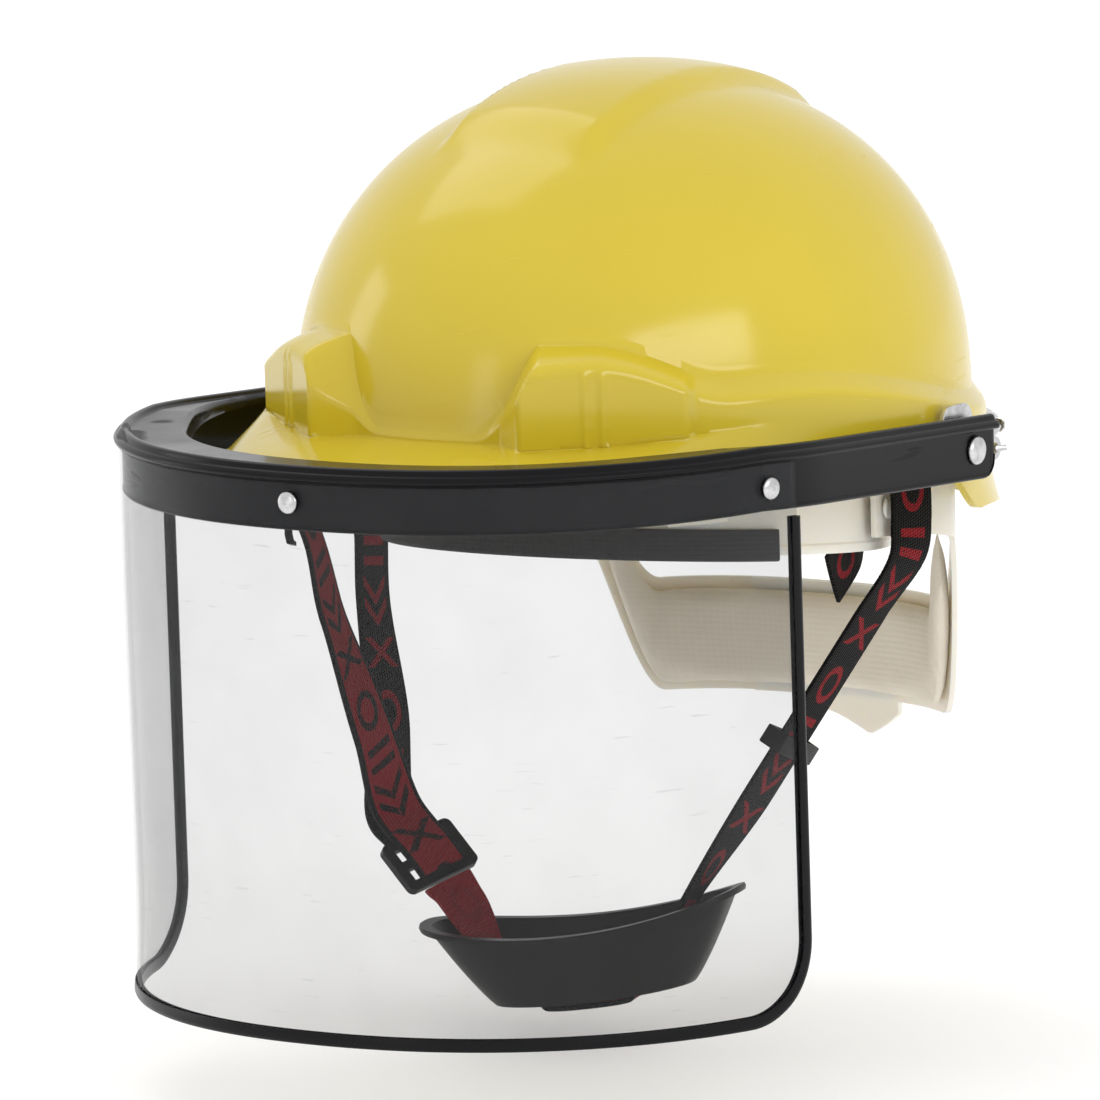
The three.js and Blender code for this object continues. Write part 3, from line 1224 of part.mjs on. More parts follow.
piece('strap_keeper', welded(keeper), blackVinyl());

export default model;
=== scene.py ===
"""Safety helmet with a lift-up visor, a cradle and a chin strap: the finished looks over the frame."""
import math

import bmesh
import bpy
import numpy as np
from mathutils import Matrix, Vector


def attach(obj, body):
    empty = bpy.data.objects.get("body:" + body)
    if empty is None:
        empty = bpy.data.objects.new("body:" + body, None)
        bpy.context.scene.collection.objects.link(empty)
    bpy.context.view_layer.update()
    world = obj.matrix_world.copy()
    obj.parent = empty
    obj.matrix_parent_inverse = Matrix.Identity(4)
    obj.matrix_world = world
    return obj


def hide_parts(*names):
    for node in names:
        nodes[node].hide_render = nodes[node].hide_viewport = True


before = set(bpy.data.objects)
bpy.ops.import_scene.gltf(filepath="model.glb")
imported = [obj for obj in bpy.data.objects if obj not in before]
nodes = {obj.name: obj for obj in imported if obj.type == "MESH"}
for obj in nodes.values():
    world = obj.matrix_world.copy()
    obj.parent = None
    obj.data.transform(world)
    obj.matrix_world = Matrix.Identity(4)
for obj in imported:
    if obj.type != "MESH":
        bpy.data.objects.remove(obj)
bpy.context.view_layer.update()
MM = 0.001

# ------------------------------------------------------------------ camera
CAMERA_AT = Vector((2.39088, -3.57194, 0.65767))
AZIMUTH, ELEVATION, ROLL = (math.radians(v) for v in (34.202, 9.115, -1.787))
LENS = 417.785


def add_camera():
    right = Vector((math.cos(AZIMUTH), math.sin(AZIMUTH), 0))
    level = math.cos(ELEVATION)
    back = Vector((math.sin(AZIMUTH) * level, -math.cos(AZIMUTH) * level, math.sin(ELEVATION)))
    up = back.cross(right)
    rolled_right = right * math.cos(ROLL) + up * math.sin(ROLL)
    rolled_up = up * math.cos(ROLL) - right * math.sin(ROLL)
    data = bpy.data.cameras.new("camera")
    data.lens = LENS
    data.sensor_width = 36
    data.dof.use_dof = False
    camera = bpy.data.objects.new("camera", data)
    turn = Matrix((rolled_right, rolled_up, back)).transposed().to_4x4()
    camera.matrix_world = Matrix.Translation(CAMERA_AT) @ turn
    bpy.context.scene.collection.objects.link(camera)
    bpy.context.scene.camera = camera


add_camera()


# ------------------------------------------------------------------ small maths
def clamp(value, low, high):
    return min(high, max(low, value))


def mix(a, b, share):
    return a + (b - a) * share


def smooth(low, high, value):
    share = clamp((value - low) / (high - low), 0, 1)
    return share * share * (3 - 2 * share)


def power(value, exponent):
    return math.copysign(abs(value) ** exponent, value)


def spaced(low, high, count):
    return [mix(low, high, i / count) for i in range(count + 1)]


class Line:
    """A smooth line through points, walked by its length."""

    def __init__(self, points, steps=16):
        points = [Vector(p) for p in points]
        self.points = []
        self.marks = []
        padded = [points[0] * 2 - points[1]] + points + [points[-1] * 2 - points[-2]]
        for i in range(1, len(padded) - 2):
            a, b, c, d = padded[i - 1:i + 3]
            knots = [0.0]
            for first, second in ((a, b), (b, c), (c, d)):
                knots.append(knots[-1] + max((second - first).length, 1e-9) ** 0.5)
            ta, tb, tc, td = knots
            for k in range(steps):
                t = mix(tb, tc, k / steps)
                p = a * ((tb - t) / (tb - ta)) + b * ((t - ta) / (tb - ta))
                q = b * ((tc - t) / (tc - tb)) + c * ((t - tb) / (tc - tb))
                r = c * ((td - t) / (td - tc)) + d * ((t - tc) / (td - tc))
                m = p * ((tc - t) / (tc - ta)) + q * ((t - ta) / (tc - ta))
                n = q * ((td - t) / (td - tb)) + r * ((t - tb) / (td - tb))
                self.points.append(m * ((tc - t) / (tc - tb)) + n * ((t - tb) / (tc - tb)))
                self.marks.append((i - 1 + k / steps) / (len(points) - 1))
        self.points.append(points[-1])
        self.marks.append(1.0)
        self.lengths = [0.0]
        for a, b in zip(self.points, self.points[1:]):
            self.lengths.append(self.lengths[-1] + (b - a).length)
        self.length = self.lengths[-1]

    def at(self, distance):
        """The point, the direction and the share of the given points passed, at a length along the line."""
        distance = clamp(distance, 0, self.length)
        i = int(np.searchsorted(self.lengths, distance, side="right"))
        i = min(max(i, 1), len(self.points) - 1)
        share = (distance - self.lengths[i - 1]) / max(self.lengths[i] - self.lengths[i - 1], 1e-9)
        before, after = self.points[max(i - 2, 0)], self.points[min(i + 1, len(self.points) - 1)]
        passed = mix(self.marks[i - 1], self.marks[i], share)
        return self.points[i - 1].lerp(self.points[i], share), (after - before).normalized(), passed


def through(values, share):
    """A direction or number taken smoothly from a list spread evenly over 0 to 1."""
    place = clamp(share, 0, 1) * (len(values) - 1)
    i = min(int(place), len(values) - 2)
    part = smooth(0, 1, place - i)
    first, second = values[i], values[i + 1]
    if isinstance(first, Vector):
        return first.lerp(second, part)
    return mix(first, second, part)


# ------------------------------------------------------------------ mesh helpers
def finished(name, bm, material, body, replaced=(), smooth_angle=40):
    """Puts a bmesh drawn in millimetres into the scene as a piece that rides on a body."""
    bmesh.ops.scale(bm, vec=(MM, MM, MM), verts=bm.verts)
    for face in bm.faces:
        face.smooth = True
    limit = math.radians(smooth_angle)
    for edge in bm.edges:
        edge.smooth = len(edge.link_faces) != 2 or edge.calc_face_angle(0) < limit
    mesh = bpy.data.meshes.new(name)
    bm.to_mesh(mesh)
    bm.free()
    for one in material if isinstance(material, (list, tuple)) else [material]:
        mesh.materials.append(one)
    piece = bpy.data.objects.new(name, mesh)
    bpy.context.scene.collection.objects.link(piece)
    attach(piece, body)
    if replaced:
        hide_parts(*replaced)
    return piece


def outward(bm):
    bmesh.ops.remove_doubles(bm, verts=bm.verts, dist=1e-4)
    bmesh.ops.recalc_face_normals(bm, faces=bm.faces)


def lofted(columns, rows, place, closed_rows=False, closed_columns=False, caps=True, uv=None):
    """A grid placed by place(column, row); a closed way meets itself, and open ends are capped."""
    bm = bmesh.new()
    bmesh.ops.create_grid(bm, x_segments=columns, y_segments=rows, size=0.5, calc_uvs=False)
    layer = bm.loops.layers.uv.new("UVMap") if uv else None
    spots = {}
    for vert in bm.verts:
        spots[vert] = (round((vert.co.x + 0.5) * columns), round((vert.co.y + 0.5) * rows))
    if uv:
        for face in bm.faces:
            for loop in face.loops:
                loop[layer].uv = uv(*spots[loop.vert])
    for vert, (column, row) in spots.items():
        vert.co = place(column % columns if closed_columns else column, row % rows if closed_rows else row)
    bmesh.ops.remove_doubles(bm, verts=bm.verts, dist=1e-4)
    if caps:
        rims = [edge for edge in bm.edges if edge.is_boundary]
        if rims:
            bmesh.ops.holes_fill(bm, edges=rims, sides=0)
    bmesh.ops.recalc_face_normals(bm, faces=bm.faces)
    return bm


def revolved(profile, base, axis, segments=32):
    """A profile of (radius, height) turned about the line through base."""
    bm = bmesh.new()
    verts = [bm.verts.new((r, 0, h)) for r, h in profile]
    edges = [bm.edges.new(pair) for pair in zip(verts, verts[1:])]
    bmesh.ops.spin(
        bm, geom=verts + edges, cent=(0, 0, 0), axis=(0, 0, 1), angle=2 * math.pi, steps=segments,
        use_merge=True)
    outward(bm)
    turn = Vector((0, 0, 1)).rotation_difference(Vector(axis)).to_matrix().to_4x4()
    bmesh.ops.transform(bm, matrix=Matrix.Translation(Vector(base)) @ turn, verts=bm.verts)
    return bm


def rounded_section(corners, radius, segments=3):
    """The corners of a closed outline, each cut by a short arc."""
    points = []
    for i, corner in enumerate(corners):
        here = Vector(corner[:2])
        before = Vector(corners[i - 1][:2]) - here
        after = Vector(corners[(i + 1) % len(corners)][:2]) - here
        reach = corner[2] if len(corner) > 2 else radius
        reach = min(reach, before.length * 0.45, after.length * 0.45)
        start, end = here + before.normalized() * reach, here + after.normalized() * reach
        for k in range(segments + 1):
            t = k / segments
            points.append(start * (1 - t) ** 2 + here * 2 * t * (1 - t) + end * t * t)
    return points


def bevelled_copy(name, node, width, material, body, segments=2, limit=30):
    """A merged copy of a plain CAD piece with its edges broken."""
    bm = bmesh.new()
    bm.from_mesh(nodes[node].data)
    bmesh.ops.scale(bm, vec=(1000, 1000, 1000), verts=bm.verts)
    bmesh.ops.remove_doubles(bm, verts=bm.verts, dist=1e-3)
    bmesh.ops.dissolve_limit(bm, angle_limit=math.radians(1), verts=bm.verts, edges=bm.edges)
    sharp = [e for e in bm.edges if len(e.link_faces) == 2 and e.calc_face_angle(0) > math.radians(limit)]
    bmesh.ops.bevel(
        bm, geom=sharp, offset=width, offset_type="OFFSET", segments=segments, profile=0.5, affect="EDGES",
        material=-1, clamp_overlap=True)
    return finished(name, bm, material, body, [node])


# ------------------------------------------------------------------ materials
def new_material(name):
    material = bpy.data.materials.new(name)
    material.use_nodes = True
    tree = material.node_tree
    shader = tree.nodes["Principled BSDF"]
    return material, tree, shader


def add(tree, kind, **values):
    node = tree.nodes.new(kind)
    for key, value in values.items():
        if key in node.inputs:
            node.inputs[key].default_value = value
        else:
            setattr(node, key, value)
    return node


def coords(tree, scale=(1, 1, 1), turn=(0, 0, 0)):
    where = add(tree, "ShaderNodeTexCoord")
    mapping = add(tree, "ShaderNodeMapping", Scale=scale, Rotation=turn)
    tree.links.new(where.outputs["Object"], mapping.inputs["Vector"])
    return mapping.outputs["Vector"]


def noise(tree, vector, scale, detail=4, rough=0.55):
    node = add(tree, "ShaderNodeTexNoise", Scale=scale, Detail=detail, Roughness=rough)
    tree.links.new(vector, node.inputs["Vector"])
    return node.outputs["Fac"]


def ramp(tree, value, stops):
    node = add(tree, "ShaderNodeValToRGB")
    for element, stop in zip(node.color_ramp.elements, stops):
        element.position, element.color = stop
    tree.links.new(value, node.inputs["Fac"])
    return node.outputs["Color"]


def grey(value):
    return (value, value, value, 1)


def spread(tree, value, low, high, start=0.0, end=1.0):
    node = add(tree, "ShaderNodeMapRange")
    node.inputs["From Min"].default_value = start
    node.inputs["From Max"].default_value = end
    node.inputs["To Min"].default_value = low
    node.inputs["To Max"].default_value = high
    tree.links.new(value, node.inputs["Value"])
    return node.outputs["Result"]


def combined(tree, kind, first, second=0):
    node = add(tree, "ShaderNodeMath", operation=kind)
    for socket, value in zip(node.inputs, (first, second)):
        if isinstance(value, (int, float)):
            socket.default_value = value
        else:
            tree.links.new(value, socket)
    return node.outputs["Value"]


def times(tree, first, second):
    return combined(tree, "MULTIPLY", first, second)


def plus(tree, first, second):
    return combined(tree, "ADD", first, second)


def bumped(tree, shader, height, strength, distance):
    bump = add(tree, "ShaderNodeBump", Strength=strength, Distance=distance)
    tree.links.new(height, bump.inputs["Height"])
    tree.links.new(bump.outputs["Normal"], shader.inputs["Normal"])


def scratches(tree, scale, stretch, share):
    """Thin random lines: 1 on a scratch, 0 elsewhere."""
    total = None
    for turn in (0.5, 1.9, 2.7):
        vector = coords(tree, stretch, (turn * 0.4, turn * 0.7, turn))
        value = noise(tree, vector, scale, 2, 0.5)
        line = spread(tree, value, 0, 1, share, share + 0.03)
        total = line if total is None else combined(tree, "MAXIMUM", total, line)
    return total


def moulded(name, color, dark, roughness, bump, coat=0.0, subsurface=0.0, scale=60, wear=0.0, gloss=None):
    """Moulded plastic: a slow drift of colour, uneven gloss, fine orange peel and light scuffs."""
    material, tree, shader = new_material(name)
    vector = coords(tree)
    drift = noise(tree, vector, 9, 3)
    base = ramp(tree, drift, [(0.3, (*dark, 1)), (0.7, (*color, 1))])
    tree.links.new(base, shader.inputs["Base Color"])
    fine = noise(tree, vector, scale * 14, 3)
    marks = scratches(tree, 22, (1, 1, 9), 0.7)
    low, high = roughness
    rough = spread(tree, noise(tree, vector, 26, 5), low, high, 0.3, 0.7)
    rough = plus(tree, rough, times(tree, marks, 0.12 + wear))
    tree.links.new(rough, shader.inputs["Roughness"])
    wave = noise(tree, vector, scale, 2)
    height = plus(tree, wave, times(tree, fine, 0.25))
    height = combined(tree, "SUBTRACT", height, times(tree, marks, 0.15))
    bumped(tree, shader, height, bump, 0.0006)
    shader.inputs["Coat Weight"].default_value = coat
    shader.inputs["Coat Roughness"].default_value = 0.12
    if gloss is not None:
        shader.inputs["Specular IOR Level"].default_value = gloss
    if subsurface:
        shader.inputs["Subsurface Weight"].default_value = subsurface
        shader.inputs["Subsurface Radius"].default_value = (0.01, 0.007, 0.004)
        shader.inputs["Subsurface Scale"].default_value = 0.4
    return material


def clear_sheet():
    """Clear polycarbonate: fine hairlines and a faint haze, more mirror at a low angle."""
    material, tree, shader = new_material("visor_clear")
    shader.inputs["Base Color"].default_value = (0.03, 0.031, 0.034, 1)
    lines = scratches(tree, 60, (1, 1, 14), 0.735)
    haze = noise(tree, coords(tree), 30, 4)
    rough = plus(tree, spread(tree, haze, 0.02, 0.08, 0.3, 0.7), times(tree, lines, 0.25))
    tree.links.new(rough, shader.inputs["Roughness"])
    edge = add(tree, "ShaderNodeLayerWeight", Blend=0.28)
    veil = plus(tree, 0.15, times(tree, edge.outputs["Facing"], 0.12))
    veil = plus(tree, veil, times(tree, lines, 0.06))
    veil = plus(tree, veil, spread(tree, haze, 0.0, 0.02, 0.4, 0.7))
    tree.links.new(veil, shader.inputs["Alpha"])
    shader.inputs["Specular IOR Level"].default_value = 0.5
    return material


def metal(name, color, roughness, streak=0.12):
    """Zinc plated steel with turning marks and small pits."""
    material, tree, shader = new_material(name)
    vector = coords(tree)
    shade = noise(tree, vector, 420, 4)
    dark = tuple(c * 0.72 for c in color)
    tree.links.new(ramp(tree, shade, [(0.3, (*dark, 1)), (0.65, (*color, 1))]), shader.inputs["Base Color"])
    shader.inputs["Metallic"].default_value = 1.0
    grain = noise(tree, coords(tree, (1, 1, 8)), 300, 3)
    tree.links.new(spread(tree, grain, roughness, roughness + streak, 0.3, 0.7), shader.inputs["Roughness"])
    bumped(tree, shader, grain, 0.15, 0.0002)
    return material


def colour_mix(tree, kind, share, first, second):
    """A colour mix whose share and colours are each a value or another node's output."""
    node = add(tree, "ShaderNodeMix", data_type="RGBA", blend_type=kind)
    sockets = [node.inputs[0]] + [socket for socket in node.inputs if socket.type == "RGBA"]
    for socket, value in zip(sockets, (share, first, second)):
        if isinstance(value, bpy.types.NodeSocket):
            tree.links.new(value, socket)
        else:
            socket.default_value = value
    return next(socket for socket in node.outputs if socket.type == "RGBA")


def band(tree, value, low, high):
    """1 where the value lies between two limits, 0 elsewhere."""
    above = combined(tree, "GREATER_THAN", value, low)
    below = combined(tree, "LESS_THAN", value, high)
    return times(tree, above, below)


FIGURE_REPEAT = 74.0
THREAD_PITCH = 1.1


def woven_figure(tree, far, phase, across):
    """The mask of one repeat along the strap: a ring, two bars, two chevrons and a cross."""
    ring_x = combined(tree, "POWER", combined(tree, "DIVIDE", across, 0.78), 2)
    ring_y = combined(tree, "POWER", combined(tree, "SUBTRACT", phase, 11.0), 2)
    ring = band(tree, combined(tree, "SQRT", plus(tree, ring_x, ring_y)), 4.6, 7.4)
    bars = plus(tree, band(tree, phase, 24.0, 27.2), band(tree, phase, 31.0, 34.2))
    bars = times(tree, bars, combined(tree, "LESS_THAN", far, 6.2))
    slope = plus(tree, phase, times(tree, far, 1.05))
    chevrons = plus(tree, band(tree, slope, 44.5, 48.0), band(tree, slope, 52.0, 55.5))
    chevrons = times(tree, chevrons, combined(tree, "LESS_THAN", far, 6.6))
    from_middle = combined(tree, "ABSOLUTE", combined(tree, "SUBTRACT", phase, 64.5))
    diagonal = combined(tree, "ABSOLUTE", combined(tree, "SUBTRACT", times(tree, far, 0.8), from_middle))
    cross = combined(tree, "LESS_THAN", diagonal, 1.5)
    cross = times(tree, cross, combined(tree, "LESS_THAN", from_middle, 5.2))
    mask = ring
    for more in (bars, chevrons, cross):
        mask = combined(tree, "MAXIMUM", mask, more)
    return mask


def webbing(name, ground, figure, reverse=False):
    """Flat woven webbing. The UV map is in millimetres: X across the strap from -10 to 10, Y along it."""
    material, tree, shader = new_material(name)
    split = add(tree, "ShaderNodeSeparateXYZ")
    tree.links.new(add(tree, "ShaderNodeTexCoord").outputs["UV"], split.inputs["Vector"])
    across, along = split.outputs["X"], split.outputs["Y"]
    rows = times(tree, along, 2 * math.pi / THREAD_PITCH)
    lean = times(tree, across, 2 * math.pi / (THREAD_PITCH * 1.15))
    twill = combined(tree, "SINE", plus(tree, rows, times(tree, lean, 0.5)))
    warp = combined(tree, "SINE", lean)
    weave = plus(tree, times(tree, twill, 0.5), times(tree, warp, 0.5))

    phase = combined(tree, "WRAP", along, FIGURE_REPEAT)
    phase.node.inputs[2].default_value = 0.0
    far = combined(tree, "ABSOLUTE", across)
    ragged = plus(tree, noise(tree, coords(tree), 900, 2), times(tree, weave, 0.12))
    mask = woven_figure(tree, far, phase, across)
    mask = times(tree, mask, combined(tree, "GREATER_THAN", ragged, 0.36))
    if reverse:
        mask = times(tree, combined(tree, "SUBTRACT", 1, mask), combined(tree, "LESS_THAN", far, 8.2))
    yarn = colour_mix(tree, "MIX", mask, (*ground, 1), (*figure, 1))
    # painted shade: the yarn colour darkens to about half in the hollows of the weave, where the bump is low
    shade = ramp(tree, spread(tree, weave, 0, 1, -1, 1), [(0.0, grey(0.45)), (1.0, grey(1.0))])
    tree.links.new(colour_mix(tree, "MULTIPLY", 1.0, yarn, shade), shader.inputs["Base Color"])
    tree.links.new(spread(tree, weave, 0.85, 0.55, -1, 1), shader.inputs["Roughness"])
    bumped(tree, shader, weave, 0.7, 0.0004)
    shader.inputs["Specular IOR Level"].default_value = 0.12
    shader.inputs["Sheen Weight"].default_value = 0.02
    return material


def cloth(name, color, dark, pitch, bump=0.5, sheen=0.1):
    """Knitted or woven facing over foam, read from Object coordinates."""
    material, tree, shader = new_material(name)
    vector = coords(tree)
    drift = noise(tree, vector, 40, 4)
    tree.links.new(ramp(tree, drift, [(0.3, (*dark, 1)), (0.7, (*color, 1))]), shader.inputs["Base Color"])
    height = None
    for turn in (0.0, math.pi / 2):
        wave = add(tree, "ShaderNodeTexWave", Scale=1 / (pitch * MM) / 6.3, Distortion=0.6, Detail=1.0)
        tree.links.new(coords(tree, turn=(0.3, turn, 0.2)), wave.inputs["Vector"])
        height = wave.outputs["Fac"] if height is None else plus(tree, height, wave.outputs["Fac"])
    fuzz = times(tree, noise(tree, vector, 1200, 3), 0.8)
    bumped(tree, shader, plus(tree, height, fuzz), bump, 0.0003)
    tree.links.new(spread(tree, drift, 0.8, 0.95, 0.3, 0.7), shader.inputs["Roughness"])
    shader.inputs["Sheen Weight"].default_value = sheen
    return material


yellow = moulded("shell_yellow", (0.635, 0.487, 0.028), (0.605, 0.460, 0.024), (0.14, 0.21), 0.02, 0.1)
DARK_GLOSS = 0.14
black = moulded(
    "carrier_black", (0.006, 0.006, 0.007), (0.004, 0.004, 0.005), (0.16, 0.28), 0.05,
    wear=0.1, gloss=DARK_GLOSS)
vinyl = moulded(
    "vinyl_black", (0.007, 0.007, 0.008), (0.004, 0.004, 0.005), (0.22, 0.36), 0.10,
    scale=90, gloss=DARK_GLOSS)
cup_grey = moulded(
    "cup_grey", (0.018, 0.016, 0.015), (0.013, 0.012, 0.011), (0.30, 0.42), 0.07,
    scale=240, wear=0.1, gloss=DARK_GLOSS)
clip_black = moulded(
    "clip_black", (0.009, 0.008, 0.009), (0.006, 0.006, 0.006), (0.30, 0.42), 0.07,
    scale=200, gloss=DARK_GLOSS)
milky = moulded("cradle_white", (0.84, 0.81, 0.75), (0.79, 0.76, 0.69), (0.30, 0.42), 0.08, subsurface=0.5)
steel = metal("steel", (0.66, 0.66, 0.665), 0.24)
clear = clear_sheet()
nape_cloth = cloth("nape_foam", (0.80, 0.74, 0.63), (0.74, 0.67, 0.56), 1.0, 0.2)
sweat_cloth = cloth("sweat_foam", (0.022, 0.022, 0.023), (0.014, 0.014, 0.015), 0.8, 0.5)
BLACK_YARN = (0.007, 0.006, 0.006)
RED_YARN = (0.30, 0.012, 0.018)
black_web = webbing("webbing_black", BLACK_YARN, RED_YARN)
red_web = webbing("webbing_reverse", BLACK_YARN, RED_YARN, True)
plain_red = webbing("webbing_red", RED_YARN, (0.23, 0.010, 0.015))

# ------------------------------------------------------------------ shell
GAP = 0.3
SHELL_WALL = 2.6
DOME = Vector((110, 126, 111.4))
DOME_BASE, DOME_POWER = 19, 2.2
CREST_HEIGHT, CREST_HALF_WIDTH, CREST_FRONT, CREST_REAR = 4.5, 29, (-72, -56), (80, 64)
PEAK_REACH, RIM_SIDE_REACH, RIM_REAR_REACH = 46, 6, 11
PEAK_TIP_Z, SIDE_RIM_Z, REAR_RIM_Z, EAR_STEP = 14, 1, -27, 19
BROW_Z, LEDGE_FRONT_Z, LEDGE_REAR_Z = 23.6, 35.5, 13
LEDGE_DROP, BROW_DROP, LEDGE_REACH, LEDGE_SOFT = 6.5, 2.5, 6, 0.26
POD_FACE, POD_FORE, POD_AFT, POD_RISE = 9.2, 41, 19, 13.5
POD_NORMAL = (0.64, -0.768)
POD_CENTRE = (DOME.x * 0.602, -DOME.y * 0.8)
RIB_PLACES, RIB_HEIGHT, RIM_BEAD = (-10.6, -16.4), 0.8, 1.2


def pod_arch(aft):
    return smooth(-0.6, -0.88, aft)


def brow_share(aft):
    return smooth(-0.93, -0.985, aft)


def ledge_height(aft):
    side = mix(LEDGE_FRONT_Z, LEDGE_REAR_Z, smooth(-0.5, 0.6, aft))
    return mix(side + POD_RISE * pod_arch(aft), BROW_Z, brow_share(aft))


def ledge_reach(aft):
    side = LEDGE_REACH + 1.5 * smooth(-0.3, -0.6, aft) - 1.5 * smooth(0, 0.8, aft)
    return mix(side, 1, brow_share(aft))


def rim_height(aft):
    front = mix(PEAK_TIP_Z, SIDE_RIM_Z, smooth(-1, -0.1, aft))
    rear_drop = REAR_RIM_Z - SIDE_RIM_Z + EAR_STEP
    return front - EAR_STEP * smooth(0.08, 0.32, aft) + rear_drop * smooth(0.3, 1, aft)


def crest(x, y):
    """How far the raised ridge along the middle of the dome stands up at a place."""
    across = smooth(CREST_HALF_WIDTH + 4, CREST_HALF_WIDTH - 3, abs(x))
    return CREST_HEIGHT * across * smooth(*CREST_FRONT, y) * smooth(*CREST_REAR, y)


def over_ledge(crease, edge, foot, turn):
    """From crease to edge for turn 0 to 1 and on to foot for 1 to 2, the corner rounded."""
    if turn < 1 - LEDGE_SOFT:
        return crease.lerp(edge, turn)
    if turn > 1 + LEDGE_SOFT:
        return edge.lerp(foot, turn - 1)
    t = (turn - 1 + LEDGE_SOFT) / (2 * LEDGE_SOFT)
    first, last = crease.lerp(edge, 1 - LEDGE_SOFT), edge.lerp(foot, LEDGE_SOFT)
    return first * (1 - t) ** 2 + edge * (2 * t * (1 - t)) + last * t * t


def pushed_to_pod(point, turn, below, inset):
    """Carries the ledge out to the flat face of the pod on its side, with the ribs behind it."""
    side = -1 if point.x < 0 else 1
    nx, ny = POD_NORMAL[0] * side, POD_NORMAL[1]
    cx, cy = POD_CENTRE[0] * side, POD_CENTRE[1]
    along = (point.x - cx) * -ny * side + (point.y - cy) * nx * side
    width = smooth(-POD_FORE - 3, -POD_FORE + 3, along) * smooth(POD_AFT + 2.5, POD_AFT - 2.5, along)
    shelf = clamp(turn, 0, 1)
    gap = cx * nx + cy * ny + POD_FACE - inset - (nx * point.x + ny * point.y)
    push = max(0, gap) * width * shelf * (1 - below)
    if inset < 1:
        for place in RIB_PLACES:
            rib = RIB_HEIGHT * smooth(1.5, 0.4, abs(along - place))
            push += rib * smooth(0.8, 1.3, turn) * smooth(0.5, 0.3, below)
    point.x += nx * push
    point.y += ny * push
    return point


def shell_point(dome, skirt, angle, inset):
    """dome 0 to 1 from crown to ledge; skirt 0 to 1 over the ledge and down its face, 1 to 2 to the rim."""
    across, aft = math.cos(angle), math.sin(angle)
    half_width, half_length, height = DOME.x - inset, DOME.y - inset, DOME.z - inset
    ledge = ledge_height(aft) - inset
    end = clamp((ledge + mix(LEDGE_DROP, BROW_DROP, brow_share(aft)) - DOME_BASE) / height, 0, 1)
    tilt = math.acos(end ** (DOME_POWER / 2)) * dome
    radius = math.sin(tilt) ** (2 / DOME_POWER)
    x = half_width * across * radius
    y = half_length * aft * radius
    z = DOME_BASE + height * math.cos(tilt) ** (2 / DOME_POWER)
    z += crest(x, y)
    if skirt <= 0:
        return Vector((x, y, z))
    below = clamp(skirt - 1, 0, 1)
    turn = clamp(skirt, 0, 1) * 2
    peak = smooth(-0.3, -0.85, aft)
    reach = ledge_reach(aft)
    base_x, base_y = (half_width + reach) * across, (half_length + reach) * aft
    rim_reach = PEAK_REACH if aft < 0 else RIM_REAR_REACH
    rim_power = 2 / mix(2.05, 2.3, peak)
    rim_inset = inset * (1 - peak)
    rim_x = (DOME.x + RIM_SIDE_REACH - rim_inset) * power(across, rim_power)
    rim_y = (DOME.y + rim_reach - rim_inset) * power(aft, rim_power)
    rim_z = rim_height(aft) - inset * peak
    foot_z = mix(mix(ledge, rim_z, 0.2), BROW_Z - 0.7 - inset, peak)
    out = below ** mix(2, 1, peak)
    crease, edge, foot = (Vector(p) for p in ((x, y, z), (base_x, base_y, ledge), (base_x, base_y, foot_z)))
    point = over_ledge(crease, edge, foot, turn)
    point.x += (rim_x - base_x) * out
    point.y += (rim_y - base_y) * out
    point.z += (rim_z - foot_z) * below ** mix(1, 1.5, peak)
    if inset < 1:
        point.z += RIM_BEAD * peak * smooth(0.80, 0.90, below) * (1 - smooth(0.97, 1.0, below))
    return pushed_to_pod(point, turn, below, inset)


def shell_angles():
    """Columns round the right half, closest together over the pod, and their mirror on the left."""
    pod = math.atan2(-0.8, 0.602)
    marks = [-math.pi / 2, pod - 0.42, pod + 0.26, 0.06, 0.36, math.pi / 2]
    half = []
    for start, end, count in zip(marks, marks[1:], (14, 84, 26, 18, 36)):
        half += spaced(start, end, count)[:-1]
    half.append(math.pi / 2)
    return half + [math.pi - a for a in half[1:-1]][::-1]


def shell():
    angles = shell_angles()
    rows = [(r, 0) for r in spaced(0, 1, 44)]
    rows += [(1, s) for s in spaced(0, 1, 22)[1:]] + [(1, s) for s in spaced(1, 2, 30)[1:]]
    outer = [(dome, skirt, 0.0) for dome, skirt in rows]
    lip = [(1, 2, SHELL_WALL * 0.5 * (1 - math.cos(math.pi * k / 4))) for k in (1, 2, 3)]
    inner = [(dome, skirt, SHELL_WALL) for dome, skirt in rows[::-1]]
    profile = outer + lip + inner

    def place(column, row):
        dome, skirt, inset = profile[row]
        point = shell_point(dome, skirt, angles[column], inset)
        if 0 < inset < SHELL_WALL:
            bulge = math.sin(math.pi * inset / SHELL_WALL) * 0.9
            point += Vector((point.x, point.y * 0.8, 0)).normalized() * bulge * 0.6
        return point

    bm = lofted(len(angles), len(profile) - 1, place, closed_columns=True, caps=False)
    outward(bm)
    return finished("shell_moulded", bm, yellow, "helmet", ["shell"], 60)


shell()

# ------------------------------------------------------------------ carrier and visor
CARRIER_HALF_WIDTH, CARRIER_FRONT, CARRIER_BEND_Y, CARRIER_TOP, ARM_END = 127, 204, -75, 26, 27
SKIRT_BOTTOM, SKIRT_WALL = 4.3, 2.4
FLANGE_WIDTH, ARM_FLANGE_WIDTH, FLANGE_WALL, LIP_REACH = 22, 6, 2.5, 3
SHEET_WALL, SHEET_TOP, SHEET_BOTTOM, SHEET_SIDE_Y, SHEET_CORNER = 1.2, 20, -165.5, -96.3, 27
BINDING_WIDTH, BINDING_DEPTH, BINDING_TOP = 4.4, 3.2, 2
ARM_DROP, ARM_DROP_START = 8.2, -110
OUTLINE_POWER = 2.15


